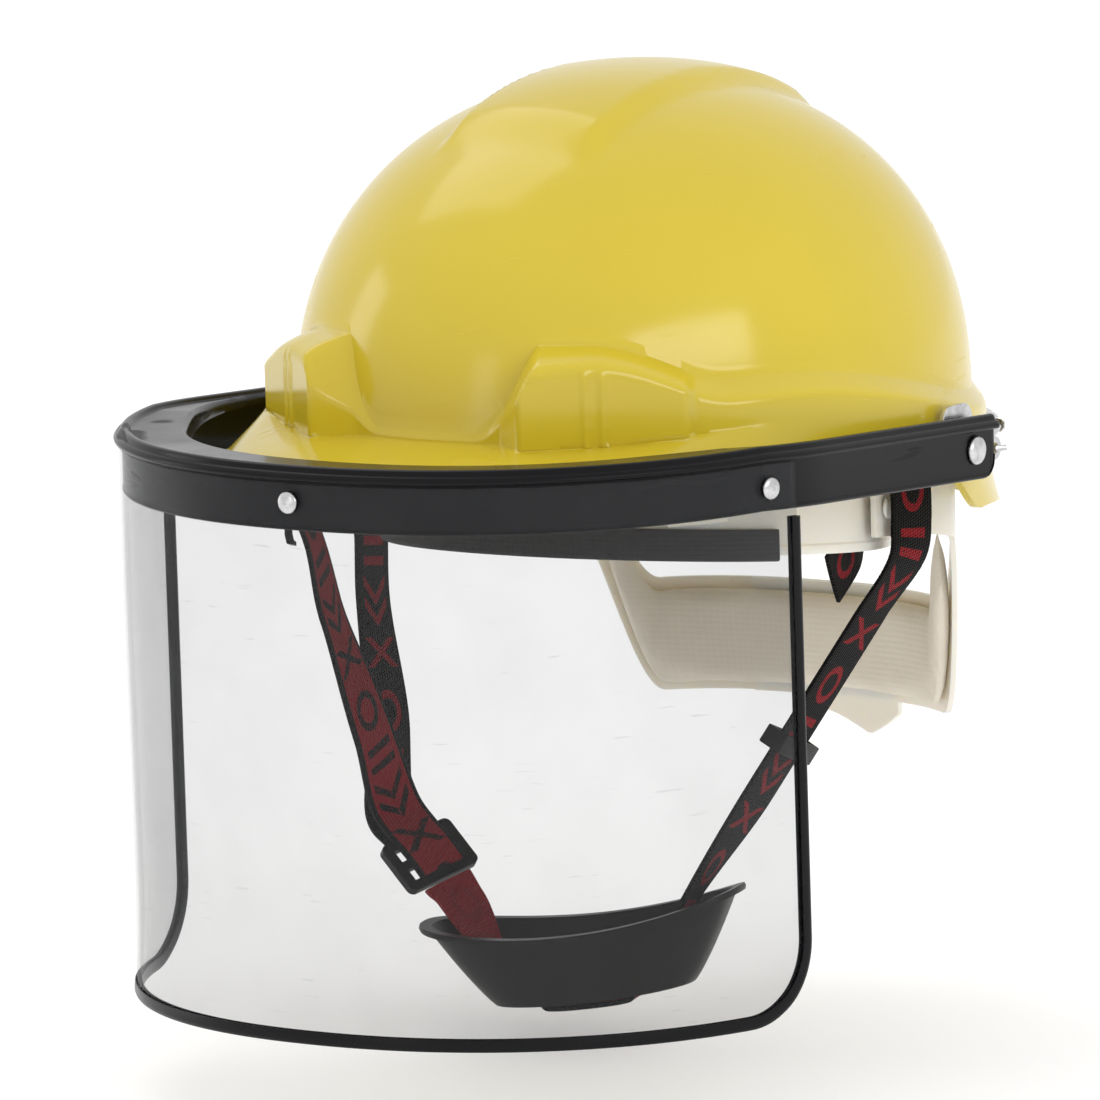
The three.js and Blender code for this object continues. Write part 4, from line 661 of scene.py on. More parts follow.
def outline_half():
    points = []
    for i in range(241):
        angle = math.radians(90 * i / 240)
        x = CARRIER_HALF_WIDTH * math.sin(angle) ** (2 / OUTLINE_POWER)
        y = CARRIER_BEND_Y - (CARRIER_FRONT + CARRIER_BEND_Y) * abs(math.cos(angle)) ** (2 / OUTLINE_POWER)
        points.append(Vector((x, y, 0)))
    points.append(Vector((CARRIER_HALF_WIDTH, ARM_END, 0)))
    return points


OUTLINE = outline_half()
REACHED = [0.0]
for first, second in zip(OUTLINE, OUTLINE[1:]):
    REACHED.append(REACHED[-1] + (second - first).length)
ARM_LENGTH = REACHED[-1]


def on_outline(distance, offset=0.0, z=0.0):
    """A point at a signed distance along the plan outline from the middle of the front."""
    travel = clamp(abs(distance), 0, ARM_LENGTH)
    side = -1 if distance < 0 else 1
    i = min(max(int(np.searchsorted(REACHED, travel)), 1), len(OUTLINE) - 1)
    share = (travel - REACHED[i - 1]) / (REACHED[i] - REACHED[i - 1])
    point = OUTLINE[i - 1].lerp(OUTLINE[i], share)
    ahead = (OUTLINE[min(i + 2, len(OUTLINE) - 1)] - OUTLINE[max(i - 3, 0)]).normalized()
    normal = Vector((ahead.y, -ahead.x, 0))
    if i >= len(OUTLINE) - 1:
        normal = Vector((1, 0, 0))
    if travel < 1:
        normal = Vector((0, -1, 0))
    spot = point + normal * offset
    return Vector((spot.x * side, spot.y, z)), Vector((normal.x * side, normal.y, 0))


def lowered(point):
    """The carrier's arms, and what is on them, sink towards the rear."""
    share = clamp((point.y - ARM_DROP_START) / (ARM_END - ARM_DROP_START), 0, 1)
    return point - Vector((0, 0, ARM_DROP * share))


def distance_at_y(y):
    i = next(i for i, p in enumerate(OUTLINE) if p.y >= y)
    return mix(REACHED[i - 1], REACHED[i], (y - OUTLINE[i - 1].y) / (OUTLINE[i].y - OUTLINE[i - 1].y))


def carrier():
    full, flat = FLANGE_WIDTH, CARRIER_TOP - 1.6
    under = flat - FLANGE_WALL
    corners = [
        (0, SKIRT_BOTTOM, 0.6), (0.5, SKIRT_BOTTOM + 0.9, 0.3), (0, SKIRT_BOTTOM + 1.8, 0.3),
        (0, SHEET_TOP + 0.7, 0.3), (LIP_REACH - 0.4, SHEET_TOP + 1.2, 0.5), (LIP_REACH, SHEET_TOP + 2.4, 0.7),
        (LIP_REACH - 1.2, SHEET_TOP + 3.8, 0.5), (1.1, SHEET_TOP + 3.7, 0.3), (0.7, SHEET_TOP + 4.4, 0.3),
        (0.2, CARRIER_TOP - 0.5, 0.5), (-1.0, CARRIER_TOP, 0.8), (-2.5, CARRIER_TOP - 0.3, 0.5),
        (-3.2, flat, 0.4), (-full + 1.6, flat, 0.6), (-full, flat - 1.2, 0.8),
        (-full, under - 6, 0.5), (-full + 2.2, under - 6, 0.5), (-full + 2.6, under, 0.8),
        (-SKIRT_WALL, under, 0.8), (-SKIRT_WALL, SKIRT_BOTTOM, 0.6),
    ]
    section = rounded_section(corners, 0.5, 3)
    front = distance_at_y(CARRIER_BEND_Y - 1)
    end = ARM_LENGTH - 9
    half = spaced(0, front, 90) + spaced(front, end, 24)[1:] + spaced(end, ARM_LENGTH, 16)[1:]
    stations = [-d for d in half[1:][::-1]] + half

    def place(column, row):
        across, up = section[row % len(section)]
        distance = stations[column]
        middle = on_outline(distance)[0]
        share = smooth(-48, -150, middle.y)
        inward = across + (full - ARM_FLANGE_WIDTH) * (1 - share) if across < -4 else across
        height = mix(under - 0.8, up, share) if across < -4 and up < under - 1 else up
        left = max(0.0, abs(distance) - (ARM_LENGTH - 8))
        floor = SKIRT_BOTTOM + 8 - math.sqrt(max(0.0, 64 - left * left))
        fade = smooth(ARM_LENGTH - 1.2, ARM_LENGTH, abs(distance))
        out = inward - (inward + SKIRT_WALL / 2) * 0.10 * fade
        if height < SKIRT_BOTTOM + 9:
            height = max(height, floor)
        return lowered(on_outline(distance, out, height)[0])

    bm = lofted(len(stations) - 1, len(section), place, closed_rows=True)
    return finished("carrier_moulded", bm, black, "visor", ["carrier"], 50)


carrier()

SHEET_HALF = distance_at_y(SHEET_SIDE_Y)


def visor_sheet():
    straight = SHEET_HALF - SHEET_CORNER
    half = spaced(0, straight, 60)
    half += [straight + SHEET_CORNER * math.sin(math.radians(a)) for a in spaced(0, 90, 24)[1:]]
    stations = [-d for d in half[1:][::-1]] + half
    levels = 24
    ring = [(GAP, k) for k in range(levels + 1)]
    ring += [(GAP + SHEET_WALL, levels - k) for k in range(levels + 1)]

    def place(column, row):
        out, level = ring[row % len(ring)]
        distance = stations[column]
        into = max(0.0, abs(distance) - SHEET_HALF + SHEET_CORNER)
        lift = SHEET_CORNER - math.sqrt(max(0.0, SHEET_CORNER ** 2 - into ** 2))
        z = mix(SHEET_TOP, SHEET_BOTTOM + lift, level / levels)
        fade = smooth(SHEET_TOP, SHEET_TOP - 60, z) * smooth(SHEET_BOTTOM, SHEET_BOTTOM + 40, z)
        ripple = 0.35 * math.sin(distance / 23 + z / 60) * fade
        return lowered(on_outline(distance, out + ripple, z)[0])

    bm = lofted(len(stations) - 1, len(ring), place, closed_rows=True)
    return finished("visor_clear_sheet", bm, clear, "visor", ["visor_sheet"], 50)


visor_sheet()


def edge_binding():
    straight = SHEET_HALF - SHEET_CORNER
    path = [(d, SHEET_BOTTOM, 0, -1) for d in spaced(0, straight, 70)[:-1]]
    for degrees in spaced(0, 90, 22):
        aside, up = math.sin(math.radians(degrees)), -math.cos(math.radians(degrees))
        path.append((straight + SHEET_CORNER * aside, SHEET_BOTTOM + SHEET_CORNER * (1 + up), aside, up))
    path += [(SHEET_HALF, z, 1, 0) for z in spaced(SHEET_BOTTOM + SHEET_CORNER, BINDING_TOP, 40)[1:]]
    path = [(-d, z, -a, u) for d, z, a, u in path[1:][::-1]] + path
    middle = GAP + SHEET_WALL / 2
    slot, edge = SHEET_WALL / 2 + 0.25, BINDING_DEPTH / 2
    inner = -BINDING_WIDTH + 1.6
    corners = [
        (inner, middle - edge + 0.3, 0.5), (0.2, middle - edge, 0.6), (1.6, middle - edge + 0.6, 1.0),
        (1.6, middle + edge - 0.6, 1.0), (0.2, middle + edge, 0.6), (inner, middle + edge - 0.3, 0.5),
        (inner, middle + slot, 0.3), (0.3, middle + slot, 0.2), (0.3, middle - slot, 0.2),
        (inner, middle - slot, 0.3),
    ]
    section = rounded_section(corners, 0.4, 3)

    def place(column, row):
        across, out = section[row % len(section)]
        distance, z, a, u = path[column]
        return lowered(on_outline(distance + across * a, out, z + across * u)[0])

    bm = lofted(len(path) - 1, len(section), place, closed_rows=True)
    return finished("edge_binding_vinyl", bm, vinyl, "visor", ["edge_binding"], 50)


edge_binding()


def rivet_profile(radius, height, shank, length, dimple=0.0):
    profile = [(0, -length), (shank, -length), (shank, 0)]
    profile += [(radius - 0.25, 0), (radius, 0.18), (radius, 0.4)]
    for k in range(1, 9):
        turn = math.radians(90 * k / 9)
        profile.append((radius * math.cos(turn), 0.4 + (height - 0.4) * math.sin(turn)))
    profile.append((dimple, height - 0.1 if dimple else height))
    profile.append((0, height - 0.35 if dimple else height))
    return profile


def ring_profile(bore, radius, length, edge):
    """The closed section of a washer or a bush, its outer edges broken."""
    outer = [(radius - edge, 0), (radius, edge), (radius, length - edge), (radius - edge, length)]
    return [(bore, 0)] + outer + [(bore, length), (bore, 0)]


RIVET_RADIUS, RIVET_DOME, RIVET_SHANK, RIVET_DIMPLE = 3.7, 1.6, 1.5, 0.9
RIVET_FRONT_Z, RIVET_SIDE_Z, RIVET_SIDE_Y = 13.8, 12, -108.6
SIDE_RIVET = distance_at_y(RIVET_SIDE_Y)
VISOR_RIVETS = (
    ("center", 0, RIVET_FRONT_Z), ("left", SIDE_RIVET, RIVET_SIDE_Z), ("right", -SIDE_RIVET, RIVET_SIDE_Z))
for name, distance, height in VISOR_RIVETS:
    base, axis = on_outline(distance, 0, height)
    out_face = GAP + SHEET_WALL + GAP
    tab_wall = 1.8 if name == "center" else 0
    stack = SKIRT_WALL + GAP + 0.8 + tab_wall
    profile = rivet_profile(RIVET_RADIUS, RIVET_DOME, RIVET_SHANK, out_face + stack + 0.8, RIVET_DIMPLE)
    bm = revolved(profile, base + axis * out_face, axis)
    finished("visor_rivet_" + name + "_head", bm, steel, "visor", ["visor_rivet_" + name], 35)
    washer = "visor_washer_" + name
    bm = revolved(ring_profile(1.8, 4, 0.8, 0.2), base - axis * stack, axis)
    finished(washer + "_ring", bm, steel, "visor", [washer], 35)
bevelled_copy("front_tab_moulded", "front_tab", 0.35, black, "visor")

# ------------------------------------------------------------------ pivots and tension spring
PIVOT_Y, PIVOT_Z = 14.9, 7
BRACKET_OUTER = CARRIER_HALF_WIDTH - ARM_FLANGE_WIDTH - 0.6
for name, side in (("left", 1), ("right", -1)):
    bracket, rivet, bush = (part + name for part in ("pivot_bracket_", "arm_rivet_", "pivot_bush_"))
    axis = (side, 0, 0)
    bevelled_copy(bracket + "_plate", bracket, 0.4, steel, "helmet", 3)
    head = Vector((side * (CARRIER_HALF_WIDTH + GAP), PIVOT_Y, PIVOT_Z))
    length = CARRIER_HALF_WIDTH + GAP - BRACKET_OUTER + 1.6 + 1.3
    profile = [(0, -length - 0.2), (3.6, -length - 0.1), (4, -length + 0.3)]
    profile += [(4, -length + 1), (2.4, -length + 1)]
    profile += rivet_profile(5, 2.3, 2.4, length, 0)[2:]
    bm = revolved(profile, head, axis, 40)
    finished(rivet + "_head", bm, steel, "helmet", [rivet], 35)
    bush_long = CARRIER_HALF_WIDTH - SKIRT_WALL - BRACKET_OUTER - 2 * GAP
    foot = (side * (BRACKET_OUTER + GAP), PIVOT_Y, PIVOT_Z)
    bm = revolved(ring_profile(2.7, 5.2, bush_long, 0.3), foot, axis, 40)
    finished(bush + "_ring", bm, vinyl, "helmet", [bush], 35)


SPRING_START, SPRING_REAR_Z, SPRING_STANDOFF = math.radians(38), 1, 3.8


def wall_at(angle, z, inset):
    """The shell's wall at a height, found by halving."""
    low, high = 0.0, 3.0
    for _ in range(28):
        middle = (low + high) / 2
        if shell_point(min(middle, 1), max(0, middle - 1), angle, inset).z > z:
            low = middle
        else:
            high = middle
    return shell_point(min(low, 1), max(0, low - 1), angle, inset)


def spring_line():
    """The coil's middle line, from beside one hook round the back of the shell to the other."""
    half = []
    for i in range(10):
        angle = mix(SPRING_START, math.pi / 2, i / 9)
        z = mix(PIVOT_Z - 3, SPRING_REAR_Z, smooth(0, 0.7, i / 9))
        wall = wall_at(angle, z, 0)
        away = Vector((wall.x / DOME.x ** 2, wall.y / DOME.y ** 2, 0)).normalized()
        half.append(Vector((wall.x, wall.y, z)) + away * SPRING_STANDOFF)
    return Line([Vector((-p.x, p.y, p.z)) for p in half[:-1]] + half[::-1], 10)


def tube(line, radius, sides, steps):
    """A round bar along a line, closed at both ends."""
    frames = []
    across = None
    for distance in spaced(0.0, line.length, steps):
        point, along, _ = line.at(distance)
        guide = across if across is not None else Vector((0, 0, 1)).cross(along)
        across = (guide - along * guide.dot(along)).normalized()
        frames.append((point, across, along.cross(across)))

    def place(column, row):
        point, across, up = frames[column]
        turn = 2 * math.pi * row / sides
        return point + across * (radius * math.cos(turn)) + up * (radius * math.sin(turn))

    return lofted(steps, sides, place, closed_rows=True)


def tension_spring():
    line = spring_line()
    wire, radius, pitch = 0.45, 2.5, 1.15
    turns = line.length / pitch
    count = int(turns * 9)
    points = []
    for i in range(count + 1):
        point, along, _ = line.at(line.length * i / count)
        across = Vector((0, 0, 1)).cross(along).normalized()
        up = along.cross(across)
        turn = 2 * math.pi * turns * i / count
        points.append(point + across * (radius * math.cos(turn)) + up * (radius * math.sin(turn)))
    coil = Line(points, 1)
    bm = tube(coil, wire, 5, count)
    return finished("tension_spring_coil", bm, steel, "helmet", ["tension_spring"], 60)


tension_spring()
for name in ("left", "right"):
    piece = nodes["spring_hook_" + name]
    piece.data.materials.clear()
    piece.data.materials.append(steel)

# ------------------------------------------------------------------ cradle
BAND_HALF_WIDTH, BAND_HALF_LENGTH, BAND_WALL, BAND_HEIGHT, BAND_TILT = 80, 99, 1.8, 30, 0.12
HALF_BAND = BAND_HEIGHT / 2


def band_height(y):
    return -14 - BAND_TILT * y


def band_point(angle, inward, up):
    y = (BAND_HALF_LENGTH - inward) * math.sin(angle)
    return Vector(((BAND_HALF_WIDTH - inward) * math.cos(angle), y, band_height(y) + up))


def headband():
    corners = [
        (0, -HALF_BAND, 0.6), (BAND_WALL, -HALF_BAND, 0.6), (BAND_WALL, HALF_BAND, 0.6), (0, HALF_BAND, 0.6),
        (0, HALF_BAND - 3, 0.2), (0.35, HALF_BAND - 3.6, 0.2), (0.35, -HALF_BAND + 3.6, 0.2),
        (0, -HALF_BAND + 3, 0.2),
    ]
    section = rounded_section(corners, 0.5, 2)
    columns = 160

    def place(column, row):
        inward, up = section[row % len(section)]
        return band_point(2 * math.pi * column / columns, inward, up)

    bm = lofted(columns, len(section), place, closed_rows=True, closed_columns=True, caps=False)
    outward(bm)
    return finished("headband_moulded", bm, milky, "helmet", ["headband"], 50)


headband()

NAPE_OFFSET, NAPE_SPREAD, NAPE_BULGE, NAPE_POWER = 2.4, 8, 14, 2.6
NAPE_START, NAPE_OVERLAP, NAPE_Z, NAPE_HEIGHT, NAPE_TOP_HEIGHT = 12, 13, -81.5, 40, 20
TONGUE_AT, TONGUE_HALF, TONGUE_DROP = 84, 9, 13


def nape_point(degrees, outside, share):
    angle = math.radians(degrees)
    turn = 90 - abs(90 - degrees)
    flare = smooth(NAPE_START + 5, NAPE_START + 22, turn)
    sunk = smooth(NAPE_START + 21, NAPE_START + 44, turn)
    height = mix(NAPE_TOP_HEIGHT, NAPE_HEIGHT, smooth(NAPE_START + 14, NAPE_START + 46, turn))
    exponent = mix(1, 2 / NAPE_POWER, flare)
    x = (BAND_HALF_WIDTH + NAPE_OFFSET + NAPE_SPREAD * flare + outside) * power(math.cos(angle), exponent)
    y = (BAND_HALF_LENGTH + NAPE_OFFSET + NAPE_BULGE * flare + outside) * power(math.sin(angle), exponent)
    return Vector((x, y, mix(band_height(y), NAPE_Z, sunk) + share * height))


def nape_strap(name, side, outside):
    levels = 14
    shares = [(outside, mix(-0.5, 0.5, k / levels)) for k in range(levels + 1)]
    shares += [(outside + BAND_WALL, mix(0.5, -0.5, k / levels)) for k in range(levels + 1)]
    first = NAPE_START if side > 0 else 180 - NAPE_START
    last = 90 + NAPE_OVERLAP if side > 0 else 90 - NAPE_OVERLAP
    columns = 110

    def place(column, row):
        out, share = shares[row % len(shares)]
        degrees = mix(first, last, column / columns)
        near = smooth(NAPE_START + 30, NAPE_START + 60, 90 - abs(90 - degrees))
        groove = 0.35 * smooth(0.44, 0.40, abs(share)) if out > outside else 0
        point = nape_point(degrees, mix(out - outside, out, near) - groove, share)
        if share < 0 and side < 0:
            tongue = max(0.0, 1 - abs(degrees - TONGUE_AT) / TONGUE_HALF) ** 0.7
            point.z -= TONGUE_DROP * smooth(0, 0.45, -share) * tongue
        return point

    bm = lofted(columns, len(shares), place, closed_rows=True)
    node = "nape_strap_" + name
    return finished(node + "_moulded", bm, milky, "helmet", [node], 50)


nape_strap("left", 1, 0)
nape_strap("right", -1, BAND_WALL + GAP)
for node in ("band_stud_left", "band_stud_right", "nape_stud_left", "nape_stud_right"):
    bevelled_copy(node + "_moulded", node, 0.3, milky, "helmet", 2, 50)
for end in ("front", "rear"):
    for side in ("left", "right"):
        node = "cradle_key_" + end + "_" + side
        bevelled_copy(node + "_moulded", node, 0.5, milky, "helmet", 3)
for node in ("strap_lug_right_front", "strap_lug_right_rear"):
    bevelled_copy(node + "_moulded", node, 0.5, clip_black, "helmet", 3)
for node in ("crown_strap_lower", "crown_strap_upper"):
    bevelled_copy(node + "_moulded", node, 0.3, milky, "helmet", 2, 50)


def simulated(piece, cap, frames=20):
    """Blows a padded piece up a little as cloth and keeps the result, no point moving further than cap."""
    scene = bpy.context.scene
    start = np.array([v.co for v in piece.data.vertices])
    cloth_modifier = piece.modifiers.new("cloth", "CLOTH")
    settings = cloth_modifier.settings
    settings.quality = 5
    settings.use_pressure = True
    settings.uniform_pressure_force = 4
    settings.effector_weights.gravity = 0
    settings.tension_stiffness = 25
    settings.bending_stiffness = 0.5
    scene.frame_start, scene.frame_end = 1, frames
    for step in range(1, frames + 1):
        scene.frame_set(step)
    shaped = piece.evaluated_get(bpy.context.evaluated_depsgraph_get())
    moved = np.array([v.co for v in shaped.data.vertices])
    piece.modifiers.remove(cloth_modifier)
    scene.frame_set(1)
    shift = moved - start
    reach = np.linalg.norm(shift, axis=1, keepdims=True)
    shift *= np.minimum(1, cap * MM / np.maximum(reach, 1e-9))
    piece.data.vertices.foreach_set("co", (start + shift).astype(np.float32).ravel())
    piece.data.update()


def nape_pad():
    """A foam pad in a sewn cover, crowned across its height, with a stitched edge."""
    columns, levels = 130, 26
    wall, start = 6.0, 42

    def place(column, row):
        degrees = mix(start, 180 - start, column / columns)
        turn = 90 - abs(90 - degrees)
        settle = smooth(start, start + 18, turn)
        around = 2 * math.pi * row / levels
        up = power(math.sin(around), 0.55) * 0.425
        depth = power(math.cos(around), 0.75)
        end = smooth(0, 0.05, min(column, columns - column) / columns)
        end = math.sqrt(end * (2 - end))
        sew = 1 - 0.35 * smooth(0.34, 0.36, abs(up)) * (1 - smooth(0.37, 0.39, abs(up)))
        thick = (wall / 2 - 0.3) * end * sew
        tuck = 0.12 * math.sin(degrees * 2.3) * smooth(0.2, 0.4, abs(up))
        out = -GAP - 0.5 - wall / 2 + depth * thick + tuck
        return nape_point(degrees, out, up * mix(0.8, 1, settle) * mix(0.9, 1, end))

    bm = lofted(columns, levels, place, closed_rows=True)
    piece = finished("nape_pad_cover", bm, nape_cloth, "helmet", ["nape_pad"], 70)
    simulated(piece, 1.0)


nape_pad()


def sweatband():
    wall, columns, start, end = 3.6, 120, -152, -18
    face = BAND_WALL + GAP + wall
    corners = [
        (-GAP - 1.2, -HALF_BAND + 9, 0.5), (-GAP - 1.2, -HALF_BAND - 2.0, 1.2), (face, -HALF_BAND - 2.0, 1.6),
        (face, -4, 0.4), (face - 0.5, -3.4, 0.3), (face, -2.8, 0.4), (face, HALF_BAND, 1.6),
        (BAND_WALL + GAP, HALF_BAND, 0.5), (BAND_WALL + GAP, -HALF_BAND - GAP, 0.3),
        (-GAP, -HALF_BAND - GAP, 0.3), (-GAP, -HALF_BAND + 9, 0.3),
    ]
    section = rounded_section(corners, 0.5, 2)

    def place(column, row):
        inward, up = section[row % len(section)]
        wobble = 0.25 * math.sin(column * 0.9) if inward > BAND_WALL + 2 else 0
        return band_point(math.radians(mix(start, end, column / columns)), inward + wobble, up)

    bm = lofted(columns, len(section), place, closed_rows=True)
    piece = finished("sweatband_cover", bm, sweat_cloth, "helmet", ["sweatband"], 60)


sweatband()


def crown_pad():
    top, fall = DOME_BASE + DOME.z - 30, 0.0125
    profile = [(0, -5.6), (22, -5.6), (27, -5.3), (30, -4.6), (31, -3.2), (30, -1.9), (24, -1.4), (0, -1.4)]
    bm = revolved(profile, (0, 0, 0), (0, 0, 1), 48)
    bmesh.ops.subdivide_edges(bm, edges=bm.edges, cuts=2, use_grid_fill=True)
    for vert in bm.verts:
        radius = math.hypot(vert.co.x, vert.co.y)
        quilt = 0.5 * (math.cos(vert.co.x * 0.55) * math.cos(vert.co.y * 0.55)) * smooth(30, 24, radius)
        vert.co.z += top - fall * radius * radius - (quilt if vert.co.z < -3 else 0)
    piece = finished("crown_pad_cover", bm, sweat_cloth, "helmet", ["crown_pad"], 60)


crown_pad()

# ------------------------------------------------------------------ chin strap
WEB_WIDTH, WEB_WALL = 20, 1.5
CUP_LENGTH, CUP_WIDTH, CUP_DEPTH, CUP_WALL = 112, 44, 25, 2
CUP_FOOT_LENGTH, CUP_FOOT_WIDTH, CUP_RISE = 0.64, 0.62, 7
CUP_CENTRE, CUP_TURN, CUP_LEAN = (-10.2, -25, -159.3), math.radians(15), math.radians(-8)
CUP_FRAME = Matrix.Translation(CUP_CENTRE) @ Matrix.Rotation(CUP_TURN, 4, "Z")
CUP_FRAME = CUP_FRAME @ Matrix.Rotation(CUP_LEAN, 4, "Y")
CUP_SIDEWAYS = (CUP_FRAME.to_3x3() @ Vector((0, 1, 0))).normalized()
CUP_SLOT_X = 17
CUP_FLOOR_Z = -CUP_DEPTH + CUP_WALL + WEB_WALL / 2 + 1.2


def in_cup(x, y, z):
    return CUP_FRAME @ Vector((x, y, z))


def webbing_strip(name, points, directions, material, columns=180):
    """Flat webbing with rounded edges through points, each direction lying across it; UVs in millimetres."""
    line = Line(points)
    half_w, half_t = WEB_WIDTH / 2, WEB_WALL / 2
    corners = [(-half_w, -half_t, 0.5), (half_w, -half_t, 0.5), (half_w, half_t, 0.5), (-half_w, half_t, 0.5)]
    section = rounded_section(corners, 0.5, 2)
    dense = []
    for first, second in zip(section, section[1:] + section[:1]):
        parts = 14 if (second - first).length > 5 else 1
        dense += [first.lerp(second, k / parts) for k in range(parts)]

    def place(column, row):
        across, up = dense[row % len(dense)]
        point, along, share = line.at(line.length * column / columns)
        sideways = through(directions, share)
        sideways = (sideways - along * sideways.dot(along)).normalized()
        face = along.cross(sideways)
        cupping = 0.25 * (1 - (across / half_w) ** 2)
        return point + sideways * across + face * (up + cupping)

    def uv(column, row):
        return dense[row % len(dense)][0], line.length * column / columns

    bm = lofted(columns, len(dense), place, closed_rows=True, uv=uv)
    return finished(name + "_web", bm, material, "chin_strap", [name], 50)


# The foot of each right lug, and the way the strap lies across it.
LUG_FEET = {
    "right_front": (Vector((-94.447, -71.293, -6)), Vector((0.40643, -0.91368, 0))),
    "right_rear": (Vector((-110.858, -7.841, -8)), Vector((0.0457, -0.99895, 0))),
}
SLIDER = Vector((-72.7, -27, -140.2))
SLIDER_REACH = 11
slider_down = (in_cup(-CUP_LENGTH * 0.22, 0, CUP_FLOOR_Z + 3) - SLIDER).normalized()
slider_across = Vector((0.66, 0.72, -0.2))
slider_across = (slider_across - slider_down * slider_across.dot(slider_down)).normalized()
slider_out = slider_across.cross(slider_down)


def slider_spot(down, out=0.0):
    return SLIDER + slider_down * down + slider_out * out


def toward(x, y):
    return Vector((x, y, 0)).normalized()


def upper_strap(name, out, twist, material, bar=()):
    """A strap from its lug to the slider, and on over the slider's bar where one is given."""
    foot, across = LUG_FEET[name]
    start = foot - Vector((0, 0, WEB_WALL + 3 * GAP))
    away = -across if across.dot(twist) < 0 else across
    end = slider_spot(-SLIDER_REACH, -out)
    points = [
        start, start.lerp(end, 0.12) + Vector((2.5, 0, 0)), start.lerp(end, 0.35) - Vector((1, 0, 0)),
        start.lerp(end, 0.7) - Vector((2, 0, 0)), slider_spot(-SLIDER_REACH - 10, -1.3 * out), end, *bar,
    ]
    directions = [away, away.lerp(twist, 0.4), twist, twist.lerp(slider_across, 0.5)]
    directions += [slider_across] * (2 + len(bar))
    webbing_strip("chin_strap_" + name, points, directions, material)


slider_bar = [slider_spot(-4, -3.1), slider_spot(4, -3.1), slider_spot(7, -2.9)]
upper_strap("right_front", 2.2, toward(-0.25, 1), red_web, slider_bar)
upper_strap("right_rear", -2.2, toward(-0.05, 1), black_web)

webbing_strip(
    "chin_strap_right_lower",
    [slider_spot(SLIDER_REACH), slider_spot(SLIDER_REACH + 8), in_cup(-CUP_LENGTH * 0.3, 0, CUP_FLOOR_Z + 12),
     in_cup(-CUP_SLOT_X - 7, 0, CUP_FLOOR_Z + 0.8), in_cup(-CUP_SLOT_X - 2, 0, CUP_FLOOR_Z)],
    [slider_across, slider_across.lerp(CUP_SIDEWAYS, 0.3), CUP_SIDEWAYS, CUP_SIDEWAYS, CUP_SIDEWAYS],
    plain_red, 90)

UNDER_CUP_Z = -CUP_DEPTH - WEB_WALL / 2 - 0.5
under_half = [
    (CUP_SLOT_X, -CUP_DEPTH + 1.5), (CUP_SLOT_X - 1.2, UNDER_CUP_Z + 0.4),
    (CUP_SLOT_X - 5, UNDER_CUP_Z - 0.4),
]
under_points = [in_cup(-x, 0, z) for x, z in under_half] + [in_cup(x, 0, z) for x, z in under_half[::-1]]
webbing_strip("chin_strap_under_cup", under_points, [CUP_SIDEWAYS] * 6, red_web, 60)

# The left strap loops over the headband and runs down through its keeper.
LOOP_Y, LOOP_OUT, LOOP_IN, LOOP_TOP, LOOP_FOOT = 38, 85.98, 68.38, -3.56, -33.56
left_start = Vector((LOOP_OUT - 0.5, LOOP_Y - 2, LOOP_FOOT - 1))
left_twist = toward(0.05, 1)
left_entry = in_cup(CUP_LENGTH * 0.29, 0, CUP_FLOOR_Z + 17)
KEEPER_SHARE = 0.51


def left_run(share):
    return left_start.lerp(left_entry, share)


LEFT_POINTS = [
    (LOOP_IN + 4.5, LOOP_Y - 30, LOOP_FOOT - 6), (LOOP_IN + 3, LOOP_Y - 16, LOOP_FOOT + 2),
    (LOOP_IN + 0.6, LOOP_Y - 4, LOOP_FOOT + 11), (LOOP_IN, LOOP_Y, LOOP_TOP - 6),
    (LOOP_IN + 0.5, LOOP_Y, LOOP_TOP + 3),
    ((LOOP_IN + LOOP_OUT) / 2, LOOP_Y, LOOP_TOP + 6.5), (LOOP_OUT - 0.5, LOOP_Y, LOOP_TOP + 3),
    (LOOP_OUT, LOOP_Y, LOOP_TOP - 6), (LOOP_OUT, LOOP_Y, LOOP_FOOT + 10), left_start,
    left_run(0.16), left_run(KEEPER_SHARE - 0.14), left_run(KEEPER_SHARE + 0.14), left_entry,
    in_cup(CUP_SLOT_X + 9, 0, CUP_FLOOR_Z + 2.2), in_cup(CUP_SLOT_X + 2, 0, CUP_FLOOR_Z),
]
tail_across = Vector((-0.1, 0.6, -0.8)).normalized()
loop_inside, loop_across = toward(-0.38, 1), toward(0.15, 1)
LEFT_TURNS = [tail_across] * 2 + [loop_inside] * 3 + [toward(-0.1, 1)] + [loop_across] * 3
LEFT_TURNS += [loop_across.lerp(left_twist, 0.4)] + [left_twist] * 3 + [CUP_SIDEWAYS] * 3
webbing_strip("chin_strap_left", LEFT_POINTS, LEFT_TURNS, black_web, 340)


def cup_point(row, angle, inset):
    """row 0 to 1 over the floor and 1 to 2 up the wall."""
    across, aft = math.cos(angle), math.sin(angle)
    wall_row = clamp(row - 1, 0, 1)
    floor_share = min(row, 1)
    half_length = (CUP_LENGTH / 2) * mix(CUP_FOOT_LENGTH, 1, wall_row ** 0.9) - inset
    half_width = (CUP_WIDTH / 2) * mix(CUP_FOOT_WIDTH, 1, wall_row ** 0.8) - inset
    x = half_length * floor_share * power(across, 2 / 2.6)
    y = half_width * floor_share * power(aft, 2 / 2.6)
    rise = CUP_RISE * (abs(x) / (CUP_LENGTH / 2)) ** 2 * mix(0.5, 1, wall_row)
    return Vector((x, y, mix(-CUP_DEPTH + inset, 0, wall_row) + rise))


